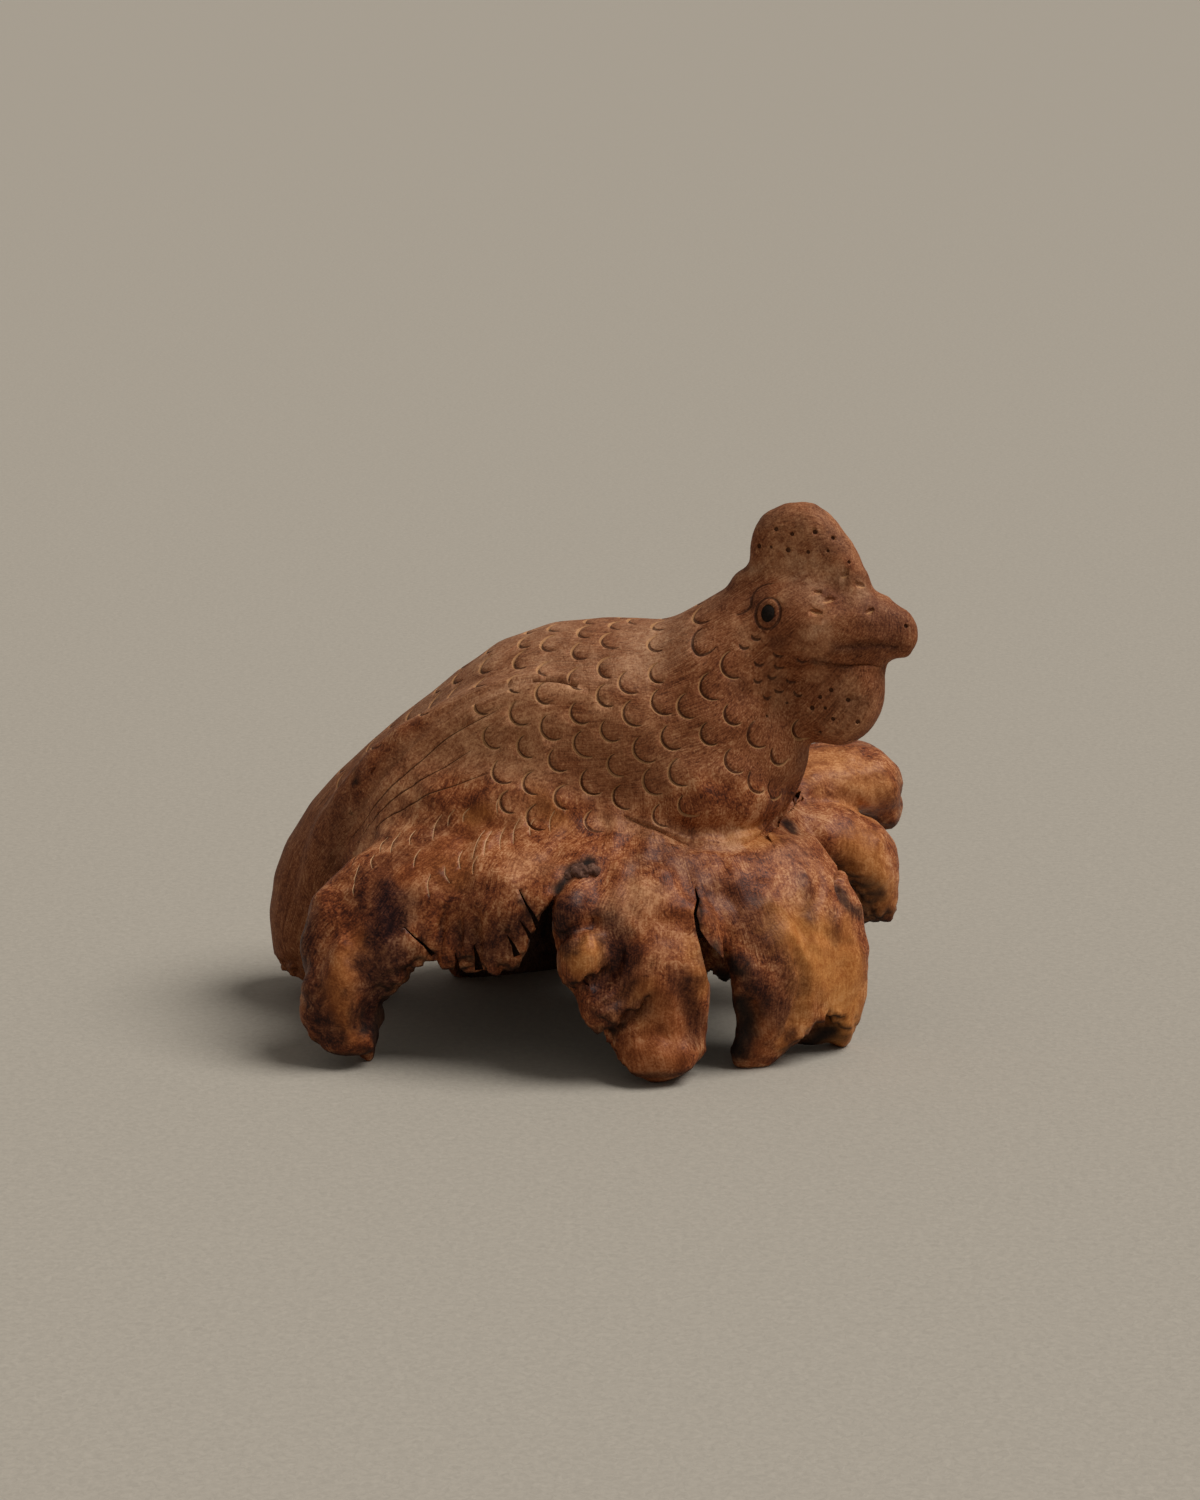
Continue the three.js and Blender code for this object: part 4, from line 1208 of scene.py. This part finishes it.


# Stains and painted light: strokes of photo pixels with a radius in mm and a strength, painted on the points
# near them
stainsAndLight = {
    # purple-brown stains, and painted shade at the claw's edges, in folds, along the mouth and beak lines and
    # under the lobes
    "dark": [
        ([(388, 900), (390, 915), (387, 940), (384, 965), (378, 990), (370, 1015)], 4.6, 1.0),
        ([(306, 930), (304, 960), (307, 990), (316, 1018), (334, 1038)], 3.2, 0.8),
        ([(467, 935), (487, 952), (505, 932), (520, 922)], 2.8, 0.75),
        ([(438, 895), (467, 902), (497, 900)], 3.6, 0.2),
        ([(575, 902), (565, 915), (562, 930)], 3.4, 0.9),
        ([(612, 926), (622, 950), (616, 974), (598, 992), (612, 1008)], 2.8, 0.85),
        ([(600, 1012), (618, 1020), (640, 1008)], 2.4, 0.7),
        ([(675, 978), (686, 996), (693, 1016), (694, 1040)], 2.2, 0.65),
        ([(660, 858), (690, 872), (706, 886), (735, 902)], 3.6, 0.5),
        ([(738, 902), (756, 925), (766, 944), (782, 964), (792, 982)], 3.8, 0.6),
        ([(745, 972), (764, 992), (780, 1012)], 3.6, 0.8),
        ([(771, 616)], 2.1, 0.75),
        ([(838, 649), (858, 646), (876, 645), (896, 648)], 0.9, 0.7),
        ([(812, 661), (845, 667), (884, 668)], 0.6, 0.6),
        ([(738, 588), (720, 602)], 3.5, 0.25),
        ([(872, 606), (892, 628)], 4.0, 0.4),
        ([(845, 600)], 3.0, 0.25),
        ([(800, 588), (822, 592)], 3.2, 0.3),
        ([(803, 876), (809, 896), (811, 915)], 1.8, 0.6),
        ([(832, 916), (836, 942)], 1.6, 0.45),
        ([(866, 908), (886, 916)], 1.5, 0.5),
        ([(899, 780), (900, 805), (893, 826)], 1.5, 0.5),
        ([(442, 827), (425, 838)], 2.6, 0.45),
        ([(400, 858), (380, 868), (364, 884)], 3.0, 0.45),
        ([(352, 800), (330, 860), (312, 920)], 3.0, 0.35),
    ],
    "russet": [
        ([(672, 1000), (668, 1030), (660, 1056), (636, 1062)], 5.4, 0.95),
        ([(765, 1000), (770, 1030), (758, 1055)], 4.0, 0.8),
        ([(862, 864), (872, 888)], 4.6, 0.2),
        ([(362, 948), (345, 968), (337, 985), (341, 1005), (352, 1028)], 4.0, 0.6),
        ([(480, 830), (440, 850), (400, 880)], 6.0, 0.55),
        ([(720, 900), (680, 905), (650, 930)], 5.0, 0.35),
        ([(829, 600)], 1.4, 0.6), ([(816, 612)], 1.3, 0.6), ([(860, 585)], 1.2, 0.6),
    ],
    # orange wood, and painted highlight on the lit claw, knob, foot, right leg and lobes
    "amberAndHighlight": [
        ([(362, 948), (345, 968), (337, 985), (341, 1005), (352, 1028)], 2.8, 0.7),
        ([(592, 948), (578, 970)], 2.8, 0.75),
        ([(652, 1000), (646, 1020)], 2.2, 0.4),
        ([(650, 985), (632, 998), (615, 1012)], 1.6, 0.5),
        ([(800, 935), (815, 960), (836, 985), (850, 1010), (845, 1035)], 5.6, 1.0),
        ([(826, 935), (845, 960), (856, 985)], 4.0, 0.9),
        ([(812, 985), (800, 1012), (785, 1040)], 2.8, 0.7),
        ([(845, 930), (858, 960), (862, 990)], 2.6, 0.6),
        ([(858, 852), (872, 872), (878, 895)], 5.0, 0.75),
        ([(832, 762), (858, 780), (872, 800)], 6.5, 0.5),
        ([(472, 817), (485, 813)], 2.0, 0.75),
        ([(560, 822), (545, 806)], 3.0, 0.35),
        ([(765, 838), (748, 836)], 2.6, 0.6),
        ([(690, 945), (700, 965), (703, 990)], 2.2, 0.45),
        ([(460, 880), (440, 866)], 2.4, 0.3),
    ],
    # pale patches, and painted highlight on the wing, the ridge above it, the comb's edge, the knob and the
    # leg's and lobes' tops
    "paleAndHighlight": [
        ([(604, 824), (645, 828), (700, 840), (740, 842)], 2.2, 0.6),
        ([(622, 905), (640, 898)], 3.2, 0.9),
        ([(770, 852), (800, 846), (815, 870)], 3.2, 0.25),
        ([(752, 572), (775, 565), (800, 560), (830, 570), (850, 582)], 1.3, 0.45),
        ([(800, 592), (816, 612), (812, 640)], 2.0, 0.25),
        ([(796, 560), (815, 566), (836, 577), (856, 592)], 2.2, 0.65),
        ([(806, 640), (818, 652)], 1.8, 0.5),
        ([(842, 772), (862, 788)], 6.0, 0.6),
        ([(833, 520), (850, 545), (863, 572)], 1.0, 0.4),
        ([(470, 740), (510, 725), (545, 740)], 8.0, 0.65),
        ([(430, 765), (400, 795), (370, 830)], 6.5, 0.55),
        ([(590, 745), (640, 760)], 8.0, 0.3),
        ([(772, 530), (800, 522), (832, 540)], 3.4, 0.35),
        ([(846, 690), (858, 712), (842, 728)], 3.4, 0.65),
        ([(556, 688), (578, 694), (596, 703), (614, 713), (626, 716)], 1.9, 0.75),
        ([(380, 815), (410, 800)], 3.0, 0.3),
        ([(540, 800), (520, 812), (500, 800)], 3.0, 0.35),
        ([(790, 900), (800, 905)], 2.0, 0.5),
        ([(600, 948), (596, 955)], 1.4, 0.6),
        ([(515, 868), (530, 858), (545, 866)], 2.6, 0.45),
        ([(415, 885), (408, 905), (404, 925)], 1.2, 0.5),
        ([(664, 946), (650, 970)], 2.0, 0.3),
    ],
    # dust, with painted highlight, on the comb's base and the cheek
    "dustAndHighlight": [
        ([(798, 560), (820, 565), (842, 577), (860, 590)], 1.9, 0.6),
        ([(806, 578), (824, 592), (818, 606)], 1.4, 0.5),
        ([(812, 640), (822, 628)], 1.6, 0.5),
        ([(752, 571), (776, 563)], 0.6, 0.6),
    ],
    # near-black painted shade in the slots, cracks, notches, gaps and hollows
    "blackShade": [
        ([(590, 861), (574, 869), (558, 891), (548, 910), (544, 935)], 1.3, 1.0),
        ([(698, 896), (700, 912), (697, 930), (704, 948)], 0.5, 0.9),
        ([(740, 1002), (747, 1020), (743, 1038), (736, 1052)], 3.3, 1.0),
        ([(808, 1044), (819, 1037), (831, 1031)], 2.7, 1.0),
        ([(712, 952), (718, 966), (723, 980)], 2.5, 1.0),
        ([(786, 824), (791, 831)], 1.2, 0.9),
        ([(356, 781)], 1.4, 0.8),
        ([(363, 1029)], 0.8, 1.0),
        ([(838, 890), (846, 905), (860, 914)], 1.2, 0.8),
        ([(622, 1026), (614, 1034)], 0.9, 0.8),
        ([(520, 900), (530, 916)], 0.8, 0.8),
    ],
    "wander": (5.0, 0.45), "fray": (1.4, 0.35),  # how an edge wanders: size in mm, share of its distance
}

# Wear and painted light: what weather and hands did, and painted shade and highlight, laid by rules
wearAndPaintedLight = {
    # where, which stain, strength, size of its noise in mm, noise where it begins and is full, seed
    "patches": [
        ("farSide", "dark", 0.8, 13.0, (0.05, 0.5), 33),
        ("farSide", "amberAndHighlight", 0.7, 15.0, (0.1, 0.55), 34),
        ("face", "paleAndHighlight", 0.5, 2.4, (0.1, 0.5), 36),
        ("head", "dark", 0.3, 3.6, (0.1, 0.5), 37),
    ],
    "farFrom": (-6, 12), "farTurn": (-0.2, 0.4),  # mm back, and how far it faces back
    "beakFrom": (44, 50),  # mm forward, where the face's paleness ends
    # painted shade in crevices, under the burl's edges and on its inward faces, and dust with painted highlight
    # on the back's tops
    "sunk": (0.12, 0.45), "sunkBelow": (28, 38), "sunkShade": 0.7,  # mm deep, mm up, strength
    "underTurn": (0.25, 0.75), "underAbove": (0.2, 3), "underBelow": (29, 37), "underShade": 0.9,
    "insideTurn": (0.2, 0.6), "insideBelow": (30, 40), "insideShade": 0.85,
    "backUpTo": (16, 28), "backTurn": (0.3, 0.9), "backDustAndHighlight": 0.42,  # mm forward, facing up, strength
    "drift": (8.0, 0.6), "dustGrit": (0.9, (-0.5, 0.5)),  # size in mm, and how far the dust varies
}


def strokeShare(points, stops, radius, wander):
    nearest = np.full(len(points), 1.0)
    for start, end in zip(stops, stops[1:] or stops):
        start, along = np.array(start), np.array(end - start)
        length = max(along @ along, 1e-12)
        share = np.clip((points - start) @ along / length, 0, 1)
        nearest = np.minimum(nearest, np.linalg.norm(points - start - share[:, None] * along, axis=1))
    return np.exp(-(nearest * wander / (radius * mm)) ** 3)


def henFibrePlaces(points):  # across, along and out, mm: fibres run from the head to the tail
    place = henPlaces(points)
    best = np.full(len(points), 1e9)
    along = np.zeros(len(points))
    across = np.zeros(len(points))
    travelled = 0.0
    for (x0, z0, _), (x1, z1, _) in zip(henLine["stops"], henLine["stops"][1:]):
        way = np.array([x1 - x0, 0, z1 - z0])
        length = np.linalg.norm(way)
        offset = place - np.array([x0, 0, z0])
        share = np.clip(offset @ way / length ** 2, 0, 1)
        apart = offset - share[:, None] * way
        reach = np.linalg.norm(apart, axis=1)
        upward = apart @ np.array([-way[2], 0, way[0]]) / length
        closer = reach < best
        best = np.where(closer, reach, best)
        along = np.where(closer, travelled + share * length, along)
        across = np.where(closer, np.arctan2(apart[:, 1], -upward) * fibre["henAround"], across)
        travelled += length
    return np.stack([across, along, best], axis=1)


def paint(piece, name, values, kind="FLOAT", domain="POINT"):
    layer = piece.data.attributes.new(name, kind, domain)
    field = "vector" if kind == "FLOAT_VECTOR" else "value"
    layer.data.foreach_set(field, np.ravel(values).astype(np.float32))


def paintCuts(piece):  # which faces are slopes, walls and scratches, for the painted highlight, the painted shade and the pale
    marks = np.zeros(len(piece.data.polygons), np.int32)
    piece.data.polygons.foreach_get("material_index", marks)
    slotNames = [slot.name.split(".")[0] if slot else "" for slot in piece.data.materials]
    for name, finishName in (("slope", "cutSlopeLit"), ("wall", "cutWallShaded"), ("scratch", "cutPale")):
        found = [index for index, slotName in enumerate(slotNames) if slotName == finishName]
        paint(piece, name, np.isin(marks, found), domain="FACE")
    clearFinishes(piece)


def stainAndLightShares(points, place):
    wander = 1.0
    for seed, name in ((31, "wander"), (32, "fray")):
        wander = wander + stainsAndLight[name][1] * noiseAt(place, stainsAndLight[name][0], seed)
    shares = {}
    for name in ("dark", "russet", "amberAndHighlight", "paleAndHighlight", "dustAndHighlight", "blackShade"):
        share = np.zeros(len(points))
        for pixels, radius, strength in stainsAndLight[name]:
            stops = [seenAt(pixel)[0] for pixel in pixels]
            share = np.maximum(share, strength * strokeShare(points, stops, radius, wander))
        shares[name] = share
    return shares


def addWearAndPaintedLight(shares, points, place, normals, burl):
    forward, height, head = henPlaces(points)[:, 0], place[:, 2], onHead(points)
    farSide = smoothStep(*wearAndPaintedLight["farFrom"], place[:, 1]) * smoothStep(*wearAndPaintedLight["farTurn"], normals[:, 1]) * burl
    regions = {"farSide": farSide, "face": head * (1 - smoothStep(*wearAndPaintedLight["beakFrom"], forward)), "head": head}
    for region, name, strength, size, edge, seed in wearAndPaintedLight["patches"]:
        patch = regions[region] * strength * smoothStep(*edge, noiseAt(place, size, seed))
        shares[name] = np.maximum(shares[name], patch)
    tree, below = crevices
    depth = np.array([below[tree.find(point)[1]] for point in points])
    # painted shade in the burl's crevices, below the body
    sunk = burl * smoothStep(*wearAndPaintedLight["sunk"], depth) * (1 - smoothStep(*wearAndPaintedLight["sunkBelow"], height))
    shares["dark"] = np.maximum(shares["dark"], wearAndPaintedLight["sunkShade"] * sunk)
    # near-black painted shade under the burl's hanging edges and on its faces turned in towards its heart
    under = burl * smoothStep(*wearAndPaintedLight["underTurn"], -normals[:, 2])
    under = under * smoothStep(*wearAndPaintedLight["underAbove"], height) * (1 - smoothStep(*wearAndPaintedLight["underBelow"], height))
    aside, back, out = fromHeart(place)
    inward = -(normals[:, 0] * aside + normals[:, 1] * back) / out
    inside = burl * smoothStep(*wearAndPaintedLight["insideTurn"], inward) * (1 - smoothStep(*wearAndPaintedLight["insideBelow"], height))
    shaded = np.maximum(wearAndPaintedLight["underShade"] * under, wearAndPaintedLight["insideShade"] * inside)
    shares["blackShade"] = np.maximum(shares["blackShade"], shaded)
    size, reach = wearAndPaintedLight["drift"]
    # dust and painted highlight on the back's upward faces
    onBack = (1 - burl) * (1 - smoothStep(*wearAndPaintedLight["backUpTo"], forward))
    dustAndTopHighlight = onBack * smoothStep(*wearAndPaintedLight["backTurn"], normals[:, 2]) * wearAndPaintedLight["backDustAndHighlight"]
    dustAndTopHighlight = dustAndTopHighlight * (1 + reach * noiseAt(place, size, 35))
    size, edge = wearAndPaintedLight["dustGrit"]
    shares["dustAndHighlight"] = np.maximum(shares["dustAndHighlight"] * smoothStep(*edge, noiseAt(place, size, 38)), dustAndTopHighlight)


def paintWood(piece):
    paintCuts(piece)
    points, normals = pointsOf(piece), normalsOf(piece)
    place = burlPlaces(points)
    burl = burlShare(points)
    paint(piece, "burl", burl)
    flow = np.zeros((len(points), 3))
    for size, reach in wood["flow"]:
        flow += reach * np.stack([noiseAt(place, size, seed) for seed in (41, 42, 43)], axis=1)
    paint(piece, "henFibre", henFibrePlaces(points) + wood["henFlow"] * flow, "FLOAT_VECTOR")
    paint(piece, "burlFibre", fibrePlaces(points) + flow, "FLOAT_VECTOR")
    shares = stainAndLightShares(points, place)
    addWearAndPaintedLight(shares, points, place, normals, burl)
    for name, share in shares.items():
        paint(piece, name, np.clip(share, 0, 1))
    piece.data.materials.append(woodFinish())
    pickOnly(piece)
    bpy.ops.object.shade_smooth_by_angle(angle=math.radians(wood["smoothAngle"]))


addPupil("left_eye_peg", "leftPupil")
addPupil("right_eye_peg", "rightPupil")
addBark()
paintWood(carving)
print("painted")


# Stage: a plain pale floor that runs out of sight, a wide soft sun from the right and a dim sky
studio = {
    "floorSize": 60,  # m
    "floorColour": (0.381, 0.337, 0.275), "floorSpread": 0.08,
    "grain": 1.1, "bump": 0.1, "roughness": 0.9, "shine": 0.3,  # of the floor, grain and bump in mm
    "keyStrength": 2.86, "keyAngle": 36, "keyFrom": (0.65, -0.1, 1.0),
    "worldColour": (1.0, 0.97, 0.93), "worldStrength": 0.24,
}
studio["colours"] = [(0.3, tuple(part * (1 - studio["floorSpread"]) for part in studio["floorColour"])),
                     (0.7, tuple(part * (1 + studio["floorSpread"]) for part in studio["floorColour"]))]


def addFloor():
    bpy.ops.mesh.primitive_plane_add(size=studio["floorSize"], location=(0, 0, 0))
    floor = bpy.context.active_object
    floor.name = "floor"
    bpy.ops.object.transform_apply(location=True, rotation=True, scale=True)
    floor.data.materials.append(dullFinish("paleFloor", studio))


def addLight():
    bpy.ops.object.light_add(type="SUN", location=studio["keyFrom"])
    key = bpy.context.active_object
    key.name = "keyLight"
    key.data.energy = studio["keyStrength"]
    key.data.angle = math.radians(studio["keyAngle"])
    key.rotation_euler = Vector(studio["keyFrom"]).to_track_quat("Z", "Y").to_euler()
    world = bpy.data.worlds.new("studioWorld")
    scene.world = world
    world.use_nodes = True
    background = world.node_tree.nodes["Background"]
    background.inputs["Color"].default_value = (*studio["worldColour"], 1)
    background.inputs["Strength"].default_value = studio["worldStrength"]


addFloor()
addLight()
print("floor and lights added")

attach(carving, "root")
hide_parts("carved_hen")
